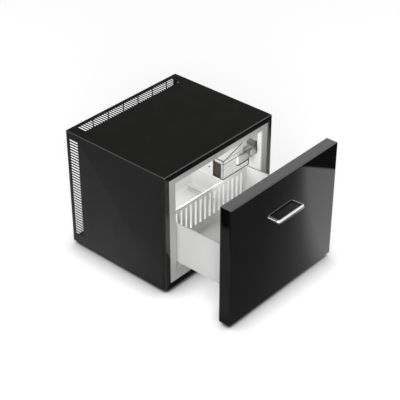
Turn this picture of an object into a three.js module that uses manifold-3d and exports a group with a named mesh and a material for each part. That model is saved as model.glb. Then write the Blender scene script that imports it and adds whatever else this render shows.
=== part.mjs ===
// Drawer minibar cabinet: an insulated casing whose whole front pulls out on roller runners.
// Millimetres, +Z up, +Y into the cabinet, +X to the right seen from the front.
// The drawer stands open at rest. Left and right are named as seen from the front.
import * as THREE from 'three';
import { mergeVertices } from 'three/addons/utils/BufferGeometryUtils.js';
import Module from 'manifold-3d';

const wasm = await Module();
wasm.setup();

// Clearances
const GAP = 0.3; // between pieces that are fastened face to face
const PIN_CLEARANCE = 0.3; // round a pin or screw in its hole
const ROLLER_CLEARANCE = 0.5; // above and below a roller in its channel
const SLIDE_CLEARANCE = 1.4; // between the fixed channel's lips and the moving rail

// Casing
const CASING_WIDTH = 500;
const CASING_DEPTH = 417;
const CASING_HEIGHT = 417;
const SHEET = 1;
const FOOT_HEIGHT = 10;
const FOOT_RADIUS = 15;
const FOOT_TAPER = 2;
const FOOT_INSET = 34;

// Front frame and the grey flange that the gasket seals on
const FRAME_DEPTH = 14;
const FRAME_WIDTH = 20.5;
const FRAME_SILL = 22;
const FRAME_ROUND = 2.5;
const FLANGE_DEPTH = 4;
const FLANGE_SIDE = 26.5;
const FLANGE_SILL = 33;
const FLANGE_HEAD = 18.5;

// Vent slots in the top and the sides
const SLOT_LENGTH = 39;
const SLOT_WIDTH = 5.4;
const SLOT_PITCH = 10;
const SLOT_REAR_MARGIN = 12;
const TOP_SLOT_MARGIN = 34;
const SIDE_SLOT_HEAD = 24;
const SIDE_SLOT_SILL = 33;

// Liner, foam and the open compartment behind them
const LINER_WALL = 2;
const FOAM_BACK = 38;
const COMPARTMENT_DEPTH = 80;
const GUARD_BORDER = 10;
const GUARD_BAR = 4;
const GUARD_PITCH = 68;
const GUARD_THICKNESS = 2;
const GUARD_INSET = 1;

// Drawer front
const PANEL_THICKNESS = 41;
const PANEL_SILL_GAP = 1.5;
const SKIN_THICKNESS = 4.5;
const SKIN_ROUND = 0.8;
const SURROUND_WALL = 12;
const SURROUND_ROUND = 1.5;
const INNER_PLATE = 3;
const GASKET_WIDTH = 12;
const GASKET_THICKNESS = 8;
const GASKET_INSET = 3;
const GASKET_ROUND = 2;

// Pull handle
const HANDLE_WIDTH = 129;
const HANDLE_PROJECTION = 29;
const HANDLE_BAR = 9;
const HANDLE_TALL = 11;
const HANDLE_CORNER = 13;
const HANDLE_ROUND = 1.5;
const HANDLE_LEVEL = 292;
const HANDLE_SCREW_GRIP = 10;

// Screws
const SCREW_RADIUS = 2;
const SCREW_HEAD_RADIUS = 4;
const SCREW_HEAD_HEIGHT = 2.5;
const SCREW_POCKET = 1.5;

// Drawer bin
const BIN_WALL = 2.5;
const BIN_SIDE_CLEARANCE = 5;
const BIN_REAR_CLEARANCE = 15;
const BIN_LIFT = 33;
const BIN_LIP = 2.5;
const BIN_LIP_TALL = 5;
const BIN_FOOT_RIM = 1.5;
const BIN_FOOT_TALL = 4;
const BIN_RIM_RISE = 12;
const BIN_TO_HOUSING = 23;
const BIN_SLOT_WIDTH = 9;
const BIN_SLOT_PITCH = 22;
const BIN_SLOT_TALL = 90;
const BIN_SLOT_BELOW_RIM = 12;
const BIN_SLOT_SIDE_MARGIN = 14;

// Roller runners under the bin
const RUNNER_INSET = 35;
const CHANNEL_WALL = 1.2;
const CHANNEL_HEIGHT = 18;
const CHANNEL_LIP = 12;
const CHANNEL_FRONT = 10;
const CHANNEL_REAR_GAP = 11;
const RAIL_WALL = 1.5;
const RAIL_SHELF = 20;
const RAIL_TRACK = 11;
const RAIL_TAIL = 9.5;
const RAIL_TAB_WIDTH = 24;
const RAIL_WEB_DROP = 6;
const TRACK_HEADROOM = 2.7;
const ROLLER_WIDTH = 6;
const ROLLER_ROUND = 1;
const ROLLER_SIDE_GAP = 0.8;
const PIN_RADIUS = 2;
const PIN_HEAD_RADIUS = 3.2;
const PIN_HEAD = 0.8;
const FRONT_ROLLER_SETBACK = 10;
const ROLLER_BEHIND_BIN = 8.8;
const STOP_GAP = 1;
const SPARE_TRAVEL = 30; // how much further the drawer opens than at rest

// Thermoelectric cooler
const COLD_SINK_WIDTH = 160;
const COLD_SINK_HEIGHT = 150;
const COLD_SINK_BASE = 4;
const COLD_SINK_FIN = 14;
const COLD_SINK_BELOW_CEILING = 28;
const COLD_FIN_THICKNESS = 2;
const COLD_FIN_PITCH = 10;
const COLD_BLOCK_SIZE = 50;
const COLD_BLOCK_PROUD = 1;
const PELTIER_SIZE = 40;
const PELTIER_THICKNESS = 4;
const HEAT_SINK_WIDTH = 170;
const HEAT_SINK_HEIGHT = 160;
const HEAT_SINK_BASE = 6;
const HEAT_SINK_FIN = 28;
const HEAT_FIN_THICKNESS = 2;
const HEAT_FIN_PITCH = 8;
const FAN_SIZE = 70;
const FAN_CORNER = 4;
const FAN_DEPTH = 20;
const FAN_WALL = 3;
const FAN_TIP_GAP = 1.5;
const FAN_HUB_RADIUS = 14;
const FAN_SPIDER = 3;
const FAN_SPOKE = 4;
const FAN_SHAFT_RADIUS = 2;
const FAN_BLADES = 7;
const FAN_BLADE_THICKNESS = 1.5;
const FAN_BLADE_ROOT = 3; // how deep a blade reaches into the hub
const FAN_BLADE_PITCH = THREE.MathUtils.degToRad(38);
const TRAY_WIDTH = 176;
const TRAY_HEIGHT = 12;
const TRAY_WALL = 2;
const TRAY_BELOW_SINK = 6;

// Power supply and mains inlet
const SUPPLY_WIDTH = 110;
const SUPPLY_HEIGHT = 84;
const SUPPLY_DEPTH = 44;
const SUPPLY_SIDE_GAP = 20;
const INLET_WIDTH = 30;
const INLET_HEIGHT = 23;
const INLET_DEPTH = 18;
const INLET_SOCKET_WIDTH = 24;
const INLET_SOCKET_HEIGHT = 16.5;
const INLET_FLOOR = 3;
const INLET_PIN_WIDTH = 2;
const INLET_PIN_TALL = 4;
const INLET_PIN_LENGTH = 12;
const INLET_PIN_SPACING = 7;
const INLET_EARTH_RISE = 4;

// Clear lamp housing under the ceiling, at the right
const HOUSING_LENGTH = 165.7;
const HOUSING_FRONT = 20;
const HOUSING_DEPTH = 43;
const HOUSING_HEIGHT = 68;
const HOUSING_DROP = 47;
const HOUSING_WALL = 2.5;
const HOUSING_RIM = 13;
const HOUSING_RIM_THICK = 2;
const HOUSING_STEP = 38; // how far the lower part stops short of the right end
const HOUSING_STEP_TALL = 24;
const GUSSET_START = 8;
const GUSSET_REACH = 148;
const BOARD_THICKNESS = 1.6;
const BOARD_MARGIN = 9;
const LAMP_OFFSET = 64;
const LAMP_WIDTH = 50;
const LAMP_TALL = 30;
const LAMP_SLOPE = 7;
const LAMP_DEPTH = 7;
const LAMP_ROUND = 1;
const LAMP_LEVEL = 30;
const LAMP_STRIP_TALL = 4;
const DIAL_OFFSET = 139;
const DIAL_LEVEL = 42;
const DIAL_RADIUS = 11;
const DIAL_DEPTH = 9;
const DIAL_FLUTES = 10;
const DIAL_FLUTE_RADIUS = 1.6;
const DIAL_SHAFT_RADIUS = 3;
const DIAL_POINTER_WIDTH = 2;
const DIAL_POINTER_PROUD = 1;
const THERMOSTAT_WIDTH = 30;
const THERMOSTAT_TALL = 26;
const THERMOSTAT_DEPTH = 24;

// Lamp switch: reed in the casing's foam, magnet in the drawer front's foam
const REED_WIDTH = 24;
const REED_SECTION = 8;
const REED_OFFSET = 120;
const REED_POCKET = 0.5;

const ARC_STEPS = 5;
const BEVEL_STEPS = 2;
const ROUND_STEPS = 24;
const PIN_STEPS = 12;
const FLUTE_STEPS = 8;
const WELD = 1e-4; // corners closer than this are one corner

// Levels and faces that several pieces share
const casingBottom = FOOT_HEIGHT;
const casingTop = casingBottom + CASING_HEIGHT;
const halfWidth = CASING_WIDTH / 2;
const wallInside = halfWidth - SHEET - GAP;
const insideBottom = casingBottom + SHEET + GAP;
const insideTop = casingTop - SHEET - GAP;
const mouthHalf = halfWidth - FRAME_WIDTH - FLANGE_SIDE;
const mouthSill = casingBottom + FRAME_SILL + FLANGE_SILL;
const mouthHead = casingTop - FRAME_WIDTH - FLANGE_HEAD;
const guardFront = CASING_DEPTH - GUARD_INSET - GUARD_THICKNESS;
const bulkheadRear = CASING_DEPTH - COMPARTMENT_DEPTH;
const bulkheadFront = bulkheadRear - SHEET;
const foamRear = bulkheadFront - GAP;
const linerRear = foamRear - FOAM_BACK - GAP;
const linerBack = linerRear - LINER_WALL;
const coldSinkFront = linerBack - GAP - COLD_SINK_BASE - COLD_SINK_FIN;
const coldSinkTop = mouthHead - COLD_SINK_BELOW_CEILING;
const coolerLevel = coldSinkTop - COLD_SINK_HEIGHT / 2;

const housingTop = mouthHead - HOUSING_DROP;
const housingBottom = housingTop - HOUSING_HEIGHT;
const housingRight = mouthHalf - GAP;
const housingLeft = housingRight - HOUSING_LENGTH;

const binHalf = mouthHalf - BIN_SIDE_CLEARANCE;
const binBottom = mouthSill + BIN_LIFT;
const binFrontRim = housingBottom - BIN_TO_HOUSING;

const channelX = mouthHalf - RUNNER_INSET;
const channelFloor = mouthSill + GAP + CHANNEL_WALL;
const channelRoof = channelFloor + CHANNEL_HEIGHT;
const channelRear = linerBack - CHANNEL_REAR_GAP;
const railX = channelX - CHANNEL_WALL - CHANNEL_LIP - SLIDE_CLEARANCE;
const rearRollerRadius = CHANNEL_HEIGHT / 2 - ROLLER_CLEARANCE;
const frontRollerRadius = (CHANNEL_HEIGHT - RAIL_WALL - TRACK_HEADROOM - ROLLER_CLEARANCE - GAP) / 2;
const frontRollerY = CHANNEL_FRONT + FRONT_ROLLER_SETBACK;
const frontRollerZ = channelFloor + ROLLER_CLEARANCE + frontRollerRadius;
const rearRollerZ = channelFloor + CHANNEL_HEIGHT / 2;
const trackBottom = frontRollerZ + frontRollerRadius + GAP;

// The drawer's own frame has y = 0 on the back of the drawer front.
const closedPanelY = -(GASKET_THICKNESS + 2 * GAP);
const binRear = coldSinkFront - BIN_REAR_CLEARANCE - closedPanelY;
const rearRollerY = binRear + ROLLER_BEHIND_BIN;
const restRollerY = frontRollerY + frontRollerRadius + rearRollerRadius + STOP_GAP + SPARE_TRAVEL;
const drawerOpening = rearRollerY - restRollerY;
const panelBottom = casingBottom + PANEL_SILL_GAP;
const panelFront = -PANEL_THICKNESS;
const skinBack = panelFront + SKIN_THICKNESS;
const handleLevel = casingBottom + HANDLE_LEVEL;
const handleArmX = (HANDLE_WIDTH - HANDLE_BAR) / 2;

// The origin is the middle of the open cabinet's footprint, on the floor.
const frontmost = -drawerOpening + panelFront - HANDLE_PROJECTION;
const footprintMiddle = (CASING_DEPTH + frontmost) / 2;

// Finishes
const finish = (color, roughness, metalness = 0) =>
  new THREE.MeshStandardMaterial({ color, roughness, metalness });
const BLACK_PAINT = finish(0x1d1d1d, 0.6);
const BLACK_SATIN = finish(0x161616, 0.35);
const BLACK_GLOSS = finish(0x0a0a0b, 0.05);
const BLACK_PLASTIC = finish(0x202020, 0.5);
const FLANGE_GREY = finish(0xb0b0b0, 0.45);
const WHITE_PLASTIC = finish(0xe4e4e2, 0.4);
const WHITE_STEEL = finish(0xdcdcd8, 0.4, 0.2);
const FOAM = finish(0xd9c98f, 0.9);
const GASKET_RUBBER = finish(0x3a3a3a, 0.7);
const BRIGHT_METAL = finish(0xd8d8d8, 0.15, 1);
const ZINC = finish(0xa9abac, 0.35, 1);
const ALUMINIUM = finish(0xb9bcc0, 0.4, 1);
const CERAMIC = finish(0xeceae4, 0.6);
const CLEAR = finish(0xb9c0c2, 0.1);
CLEAR.transparent = true;
CLEAR.opacity = 0.4;
const BOARD_BROWN = finish(0x3b2f27, 0.7);
const LAMP_FROST = finish(0xa7a9ab, 0.35);
const NYLON = finish(0xf0f0ea, 0.45);
const RUBBER = finish(0x191919, 0.85);
const MAGNET = finish(0x4a4a4c, 0.5, 0.6);

// A box between two corners
function block(x0, x1, y0, y1, z0, z1) {
  const geometry = new THREE.BoxGeometry(x1 - x0, y1 - y0, z1 - z0);
  return geometry.translate((x0 + x1) / 2, (y0 + y1) / 2, (z0 + z1) / 2);
}

// A rectangle, with round corners if a radius is given
function rectangle(path, x0, x1, y0, y1, radius = 0) {
  if (radius === 0) {
    path.moveTo(x0, y0).lineTo(x1, y0).lineTo(x1, y1).lineTo(x0, y1);
    path.closePath();
    return path;
  }
  path.moveTo(x0 + radius, y0);
  path.lineTo(x1 - radius, y0).absarc(x1 - radius, y0 + radius, radius, -Math.PI / 2, 0);
  path.lineTo(x1, y1 - radius).absarc(x1 - radius, y1 - radius, radius, 0, Math.PI / 2);
  path.lineTo(x0 + radius, y1).absarc(x0 + radius, y1 - radius, radius, Math.PI / 2, Math.PI);
  path.lineTo(x0, y0 + radius).absarc(x0 + radius, y0 + radius, radius, Math.PI, Math.PI * 1.5);
  return path;
}

function outline(points) {
  return new THREE.Shape(points.map(([x, y]) => new THREE.Vector2(x, y)));
}

// An extrusion along its own +z from 0 to depth, with its edges rounded inwards
function extrusion(shape, depth, round = 0) {
  const options = { depth: depth - 2 * round, curveSegments: ARC_STEPS, bevelEnabled: round > 0 };
  if (round > 0) {
    Object.assign(options, {
      bevelSize: round,
      bevelThickness: round,
      bevelOffset: -round,
      bevelSegments: BEVEL_STEPS,
    });
  }
  return new THREE.ExtrudeGeometry(shape, options).translate(0, 0, round);
}

// A shape drawn in x and z, filling y from front to back
function facing(shape, front, back, round = 0) {
  return extrusion(shape, back - front, round).rotateX(Math.PI / 2).translate(0, back, 0);
}

// A shape drawn in y and z, filling x from left to right
function sideways(shape, left, right) {
  const turn = new THREE.Matrix4().makeBasis(
    new THREE.Vector3(0, 1, 0),
    new THREE.Vector3(0, 0, 1),
    new THREE.Vector3(1, 0, 0),
  );
  return extrusion(shape, right - left).applyMatrix4(turn).translate(left, 0, 0);
}

// A turned solid along +y from a profile of [radius, height] pairs that closes on itself or on the axis
function turned(profile, steps = ROUND_STEPS) {
  return new THREE.LatheGeometry(profile.map(([r, h]) => new THREE.Vector2(r, h)), steps);
}

function rod(radius, length, steps = PIN_STEPS) {
  return turned([[0, 0], [radius, 0], [radius, length], [0, length]], steps);
}

// A turned solid has its axis along y, so it only moves to its starting point
function alongY(geometry, x, y, z) {
  return geometry.translate(x, y, z);
}

function toManifold(geometry) {
  const bare = geometry.clone();
  bare.deleteAttribute('normal');
  bare.deleteAttribute('uv');
  const merged = mergeVertices(bare, WELD);
  return new wasm.Manifold(new wasm.Mesh({
    numProp: 3,
    vertProperties: new Float32Array(merged.attributes.position.array),
    triVerts: new Uint32Array(merged.index.array),
  }));
}

function toGeometry(manifold) {
  const mesh = manifold.getMesh();
  const geometry = new THREE.BufferGeometry();
  geometry.setAttribute('position', new THREE.BufferAttribute(mesh.vertProperties, 3));
  geometry.setIndex(new THREE.BufferAttribute(mesh.triVerts, 1));
  geometry.computeVertexNormals();
  return geometry;
}

function cut(geometry, ...tools) {
  return toGeometry(tools.reduce((body, tool) => body.subtract(toManifold(tool)), toManifold(geometry)));
}

function join(geometry, ...others) {
  return toGeometry(others.reduce((body, other) => body.add(toManifold(other)), toManifold(geometry)));
}

// Middles of as many copies as a span holds, spread evenly about its middle
function spread(from, to, pitch) {
  const count = Math.max(1, Math.round((to - from) / pitch));
  const middle = (from + to) / 2;
  return Array.from({ length: count }, (_, i) => middle + (i - (count - 1) / 2) * pitch);
}

const assembly = new THREE.Group();
assembly.position.y = -footprintMiddle;
const cabinet = new THREE.Group();
const drawer = new THREE.Group();
drawer.position.y = -drawerOpening;
assembly.add(cabinet, drawer);

function add(group, name, material, geometry) {
  const mesh = new THREE.Mesh(geometry, material);
  mesh.name = name;
  group.add(mesh);
}

const SIDES = [['left', -1], ['right', 1]];

// Mirrors a box's x range for the left side
function sideBlock(sign, x0, x1, ...rest) {
  return sign > 0 ? block(x0, x1, ...rest) : block(-x1, -x0, ...rest);
}

// A frame between an outer and an inner rectangle
function ring(outer, inner, front, back, round) {
  const shape = rectangle(new THREE.Shape(), ...outer);
  shape.holes.push(rectangle(new THREE.Path(), ...inner));
  return facing(shape, front, back, round);
}

// Casing sheets

function frontFrame() {
  const frameInside = halfWidth - FRAME_WIDTH;
  return ring(
    [-halfWidth, halfWidth, casingBottom, casingTop],
    [-frameInside, frameInside, casingBottom + FRAME_SILL, casingTop - FRAME_WIDTH],
    0, FRAME_DEPTH, FRAME_ROUND,
  );
}

function sealFlange() {
  const outside = halfWidth - FRAME_WIDTH - GAP;
  return ring(
    [-outside, outside, casingBottom + FRAME_SILL + GAP, casingTop - FRAME_WIDTH - GAP],
    [-mouthHalf, mouthHalf, mouthSill, mouthHead],
    0, FLANGE_DEPTH, 0,
  );
}

const panelStart = FRAME_DEPTH + GAP;
const slotRear = CASING_DEPTH - SLOT_REAR_MARGIN;
const slotFront = slotRear - SLOT_LENGTH;

function topPanel() {
  const under = casingTop - SHEET;
  const middles = spread(-halfWidth + TOP_SLOT_MARGIN, halfWidth - TOP_SLOT_MARGIN, SLOT_PITCH);
  const slots = middles.map((x) =>
    block(x - SLOT_WIDTH / 2, x + SLOT_WIDTH / 2, slotFront, slotRear, under - GAP, casingTop + GAP));
  return cut(block(-halfWidth, halfWidth, panelStart, CASING_DEPTH, under, casingTop), ...slots);
}

function sidePanel(sign) {
  const inside = halfWidth - SHEET;
  const middles = spread(casingBottom + SIDE_SLOT_SILL, casingTop - SIDE_SLOT_HEAD, SLOT_PITCH);
  const slots = middles.map((z) => sideBlock(
    sign, inside - GAP, halfWidth + GAP, slotFront, slotRear, z - SLOT_WIDTH / 2, z + SLOT_WIDTH / 2,
  ));
  const sheet = sideBlock(sign, inside, halfWidth, panelStart, CASING_DEPTH, insideBottom, insideTop);
  return cut(sheet, ...slots);
}

function basePan() {
  return block(-halfWidth, halfWidth, panelStart, CASING_DEPTH, casingBottom, casingBottom + SHEET);
}

function foot(x, y) {
  const tall = FOOT_HEIGHT - GAP;
  const profile = [[0, 0], [FOOT_RADIUS - FOOT_TAPER, 0], [FOOT_RADIUS, tall], [0, tall]];
  return turned(profile).rotateX(Math.PI / 2).translate(x, y, 0);
}

function rearGuard() {
  const rear = guardFront + GUARD_THICKNESS;
  const reach = wallInside - GUARD_BORDER;
  const bottom = insideBottom + GUARD_BORDER;
  const top = insideTop - GUARD_BORDER;
  const window = block(-reach, reach, guardFront - GAP, rear + GAP, bottom, top);
  const bars = spread(-reach, reach, GUARD_PITCH).map((x) =>
    block(x - GUARD_BAR / 2, x + GUARD_BAR / 2, guardFront, rear, bottom - GAP, top + GAP));
  const plate = block(-wallInside, wallInside, guardFront, rear, insideBottom, insideTop);
  return join(cut(plate, window), ...bars);
}

// The way through the rear walls for the cold block
function blockWay(front, back, margin) {
  const half = COLD_BLOCK_SIZE / 2 + margin;
  return block(-half, half, front, back, coolerLevel - half, coolerLevel + half);
}

function rearBulkhead() {
  const plate = block(-wallInside, wallInside, bulkheadFront, bulkheadRear, insideBottom, insideTop);
  return cut(plate, blockWay(bulkheadFront - SHEET, bulkheadRear + SHEET, GAP));
}

function linerBox(margin, front, back) {
  return block(
    -mouthHalf - margin, mouthHalf + margin, front, back, mouthSill - margin, mouthHead + margin,
  );
}

function innerLiner() {
  const front = FLANGE_DEPTH + GAP;
  const tub = linerBox(LINER_WALL, front, linerRear);
  const way = blockWay(linerBack - LINER_WALL, linerRear + LINER_WALL, GAP);
  return cut(tub, linerBox(0, front - LINER_WALL, linerBack), way);
}

const reedZ = mouthHead + LINER_WALL + GAP + REED_SECTION;
const reedFront = FLANGE_DEPTH + GAP;

function reedBox(front, margin) {
  const half = REED_WIDTH / 2 + margin;
  const tall = REED_SECTION / 2 + margin;
  return block(
    REED_OFFSET - half, REED_OFFSET + half, front - margin, front + REED_SECTION + margin,
    reedZ - tall, reedZ + tall,
  );
}

function foamJacket() {
  const frameInside = halfWidth - FRAME_WIDTH - GAP;
  const sill = casingBottom + FRAME_SILL + GAP;
  const head = casingTop - FRAME_WIDTH - GAP;
  const behindFrame = block(-wallInside, wallInside, panelStart, foamRear, insideBottom, insideTop);
  const behindFlange = block(-frameInside, frameInside, FLANGE_DEPTH + GAP, foamRear, sill, head);
  const cavity = linerBox(LINER_WALL + GAP, 0, linerRear + GAP);
  const way = blockWay(linerRear - GAP, foamRear + GAP, GAP);
  return cut(join(behindFrame, behindFlange), cavity, way, reedBox(reedFront, REED_POCKET));
}

add(cabinet, 'front_frame', BLACK_SATIN, frontFrame());
add(cabinet, 'seal_flange', FLANGE_GREY, sealFlange());
add(cabinet, 'top_panel', BLACK_PAINT, topPanel());
add(cabinet, 'left_side_panel', BLACK_PAINT, sidePanel(-1));
add(cabinet, 'right_side_panel', BLACK_PAINT, sidePanel(1));
add(cabinet, 'base_pan', BLACK_PAINT, basePan());
add(cabinet, 'rear_guard', BLACK_PAINT, rearGuard());
add(cabinet, 'rear_bulkhead', ZINC, rearBulkhead());
add(cabinet, 'foam_jacket', FOAM, foamJacket());
add(cabinet, 'inner_liner', WHITE_PLASTIC, innerLiner());
add(cabinet, 'reed_switch', BLACK_PLASTIC, reedBox(reedFront, 0));
for (const [side, sign] of SIDES) {
  const x = sign * (halfWidth - FOOT_INSET);
  add(cabinet, `front_foot_${side}`, RUBBER, foot(x, panelStart + FOOT_INSET));
  add(cabinet, `rear_foot_${side}`, RUBBER, foot(x, CASING_DEPTH - FOOT_INSET));
}

// Thermoelectric cooler

// A plate with fins along +y, as seen from above
function comb(width, base, fin, thickness, pitch) {
  const points = [[-width / 2, 0], [width / 2, 0], [width / 2, base]];
  const fins = spread(-width / 2, width / 2, pitch).reverse();
  for (const x of fins) {
    const right = x + thickness / 2;
    const left = x - thickness / 2;
    points.push([right, base], [right, base + fin], [left, base + fin], [left, base]);
  }
  points.push([-width / 2, base]);
  return outline(points);
}

function coldSink() {
  const shape = comb(COLD_SINK_WIDTH, COLD_SINK_BASE, COLD_SINK_FIN, COLD_FIN_THICKNESS, COLD_FIN_PITCH);
  const bottom = coldSinkTop - COLD_SINK_HEIGHT;
  return extrusion(shape, COLD_SINK_HEIGHT).rotateZ(Math.PI).translate(0, linerBack - GAP, bottom);
}

const peltierFront = bulkheadRear + COLD_BLOCK_PROUD + GAP;
const heatSinkFront = peltierFront + PELTIER_THICKNESS + GAP;
const fanFront = heatSinkFront + HEAT_SINK_BASE + HEAT_SINK_FIN + GAP;
const fanRear = fanFront + FAN_DEPTH;

function peltierModule() {
  const half = PELTIER_SIZE / 2;
  const rear = peltierFront + PELTIER_THICKNESS;
  return block(-half, half, peltierFront, rear, coolerLevel - half, coolerLevel + half);
}

function heatSink() {
  const shape = comb(HEAT_SINK_WIDTH, HEAT_SINK_BASE, HEAT_SINK_FIN, HEAT_FIN_THICKNESS, HEAT_FIN_PITCH);
  return extrusion(shape, HEAT_SINK_HEIGHT).translate(0, heatSinkFront, coolerLevel - HEAT_SINK_HEIGHT / 2);
}

const fanBore = FAN_SIZE / 2 - FAN_WALL;
const rotorRear = fanRear - FAN_SPIDER - FAN_TIP_GAP;
const rotorFront = fanFront + FAN_TIP_GAP;

// Square shroud, with a hub on four spokes at the rear and the shaft that carries the rotor
function fanFrame() {
  const half = FAN_SIZE / 2;
  const shape = rectangle(new THREE.Shape(), -half, half, coolerLevel - half, coolerLevel + half, FAN_CORNER);
  const bore = alongY(rod(fanBore, FAN_DEPTH + 2 * GAP, 2 * ROUND_STEPS), 0, fanFront - GAP, coolerLevel);
  const hub = alongY(rod(FAN_HUB_RADIUS, FAN_SPIDER, ROUND_STEPS), 0, fanRear - FAN_SPIDER, coolerLevel);
  const shaft = alongY(rod(FAN_SHAFT_RADIUS, fanRear - rotorFront), 0, rotorFront, coolerLevel);
  const reach = fanBore + FAN_WALL / 2;
  const spoke = FAN_SPOKE / 2;
  const spider = fanRear - FAN_SPIDER;
  const flat = block(-reach, reach, spider, fanRear, coolerLevel - spoke, coolerLevel + spoke);
  const upright = block(-spoke, spoke, spider, fanRear, coolerLevel - reach, coolerLevel + reach);
  return join(cut(facing(shape, fanFront, fanRear), bore), flat, upright, hub, shaft);
}

function fanRotor() {
  const length = rotorRear - rotorFront;
  const bladeRoot = FAN_HUB_RADIUS - FAN_BLADE_ROOT;
  const bladeTip = fanBore - FAN_TIP_GAP;
  const chord = length / Math.cos(FAN_BLADE_PITCH) - 2 * FAN_BLADE_THICKNESS;
  const blades = Array.from({ length: FAN_BLADES }, (_, i) => {
    const half = FAN_BLADE_THICKNESS / 2;
    const blade = block(bladeRoot, bladeTip, -chord / 2, chord / 2, -half, half);
    blade.rotateX(FAN_BLADE_PITCH);
    return blade.rotateY((i / FAN_BLADES) * Math.PI * 2).translate(0, length / 2, 0);
  });
  const hub = rod(FAN_HUB_RADIUS, length, ROUND_STEPS);
  const bore = rod(FAN_SHAFT_RADIUS + PIN_CLEARANCE, length + 2 * GAP).translate(0, -GAP, 0);
  return alongY(cut(join(hub, ...blades), bore), 0, rotorFront, coolerLevel);
}

function dripTray() {
  const half = TRAY_WIDTH / 2;
  const top = coldSinkTop - COLD_SINK_HEIGHT - TRAY_BELOW_SINK;
  const back = linerBack - GAP;
  const body = block(-half, half, coldSinkFront, back, top - TRAY_HEIGHT, top);
  const inside = block(
    -half + TRAY_WALL, half - TRAY_WALL, coldSinkFront + TRAY_WALL, back - TRAY_WALL,
    top - TRAY_HEIGHT + TRAY_WALL, top + TRAY_WALL,
  );
  return cut(body, inside);
}

const supplyRight = wallInside - SUPPLY_SIDE_GAP;
const supplyLeft = supplyRight - SUPPLY_WIDTH;
const supplyFront = bulkheadRear + GAP;
const supplyRear = supplyFront + SUPPLY_DEPTH;

function powerSupply() {
  return block(supplyLeft, supplyRight, supplyFront, supplyRear, insideBottom, insideBottom + SUPPLY_HEIGHT);
}

// Flanged socket with three flat pins standing on its floor
function powerInlet() {
  const x = (supplyLeft + supplyRight) / 2;
  const z = insideBottom + SUPPLY_HEIGHT / 2;
  const front = supplyRear + GAP;
  const rear = front + INLET_DEPTH;
  const floor = front + INLET_FLOOR;
  const around = (width, height, y0, y1) =>
    block(x - width / 2, x + width / 2, y0, y1, z - height / 2, z + height / 2);
  const shell = cut(
    around(INLET_WIDTH, INLET_HEIGHT, front, rear),
    around(INLET_SOCKET_WIDTH, INLET_SOCKET_HEIGHT, floor, rear + GAP),
  );
  const pins = [[-INLET_PIN_SPACING, 0], [0, INLET_EARTH_RISE], [INLET_PIN_SPACING, 0]];
  const pinStart = floor - INLET_FLOOR / 2;
  const pinEnd = floor + INLET_PIN_LENGTH;
  return join(shell, ...pins.map(([dx, dz]) =>
    around(INLET_PIN_WIDTH, INLET_PIN_TALL, pinStart, pinEnd).translate(dx, 0, dz)));
}

add(cabinet, 'cold_sink', ALUMINIUM, coldSink());
add(cabinet, 'cold_block', ALUMINIUM, blockWay(linerBack, bulkheadRear + COLD_BLOCK_PROUD, 0));
add(cabinet, 'peltier_module', CERAMIC, peltierModule());
add(cabinet, 'heat_sink', ALUMINIUM, heatSink());
add(cabinet, 'fan_frame', BLACK_PLASTIC, fanFrame());
add(cabinet, 'fan_rotor', BLACK_PLASTIC, fanRotor());
add(cabinet, 'drip_tray', WHITE_PLASTIC, dripTray());
add(cabinet, 'power_supply', ZINC, powerSupply());
add(cabinet, 'power_inlet', BLACK_PLASTIC, powerInlet());

// Clear lamp housing and what it carries

const housingRear = HOUSING_FRONT + HOUSING_DEPTH;
const wallBack = HOUSING_FRONT + HOUSING_WALL;
const dialX = housingLeft + DIAL_OFFSET;
const dialZ = housingBottom + DIAL_LEVEL;
const housingSeat = HOUSING_FRONT - GAP;

// Open trough with a thick rim and a floor that steps up under the thermostat, hung from the ceiling
// by a sloping gusset on its front wall
function lampHousing() {
  const stepLeft = housingRight - HOUSING_STEP;
  const stepTop = housingBottom + HOUSING_STEP_TALL;
  const stepFloor = stepTop + HOUSING_WALL;
  const trough = join(
    block(housingLeft, housingRight, HOUSING_FRONT, housingRear, stepTop, housingTop),
    block(housingLeft, stepLeft, HOUSING_FRONT, housingRear, housingBottom, stepFloor),
  );
  const inside = (margin, right, bottom, top) => block(
    housingLeft + margin, right - margin, HOUSING_FRONT + margin, housingRear - margin, bottom, top,
  );
  const rimMargin = HOUSING_WALL + HOUSING_RIM_THICK;
  const rimBottom = housingTop - HOUSING_RIM;
  const rimInside = inside(rimMargin, housingRight, stepFloor, housingTop + HOUSING_WALL);
  const upper = inside(HOUSING_WALL, housingRight, stepFloor, rimBottom);
  const lower = inside(HOUSING_WALL, stepLeft, housingBottom + HOUSING_WALL, rimBottom);
  const gussetTop = mouthHead - GAP;
  const gusset = outline([
    [housingLeft + GUSSET_START, housingTop - HOUSING_WALL],
    [housingRight, housingTop - HOUSING_WALL],
    [housingRight, gussetTop],
    [housingLeft + GUSSET_REACH, gussetTop],
    [housingLeft + GUSSET_START, housingTop],
  ]);
  const shaftHole = rod(DIAL_SHAFT_RADIUS + PIN_CLEARANCE, HOUSING_WALL + 2 * GAP);
  return cut(
    join(cut(trough, rimInside, upper, lower), facing(gusset, HOUSING_FRONT, wallBack)),
    alongY(shaftHole, dialX, housingSeat, dialZ),
  );
}

function controlBoard() {
  const left = housingLeft + HOUSING_WALL + GAP;
  return block(
    left, left + BOARD_THICKNESS, wallBack + BOARD_MARGIN, housingRear - HOUSING_WALL - GAP,
    housingBottom + HOUSING_WALL + GAP, housingTop - HOUSING_RIM - GAP,
  );
}

const lampLeft = housingLeft + LAMP_OFFSET;
const lampBottom = housingBottom + LAMP_LEVEL;

function lampLens() {
  const shape = outline([
    [lampLeft, lampBottom],
    [lampLeft + LAMP_WIDTH, lampBottom],
    [lampLeft + LAMP_WIDTH, lampBottom + LAMP_TALL - LAMP_SLOPE],
    [lampLeft, lampBottom + LAMP_TALL],
  ]);
  return facing(shape, housingSeat - LAMP_DEPTH, housingSeat, LAMP_ROUND);
}

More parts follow.
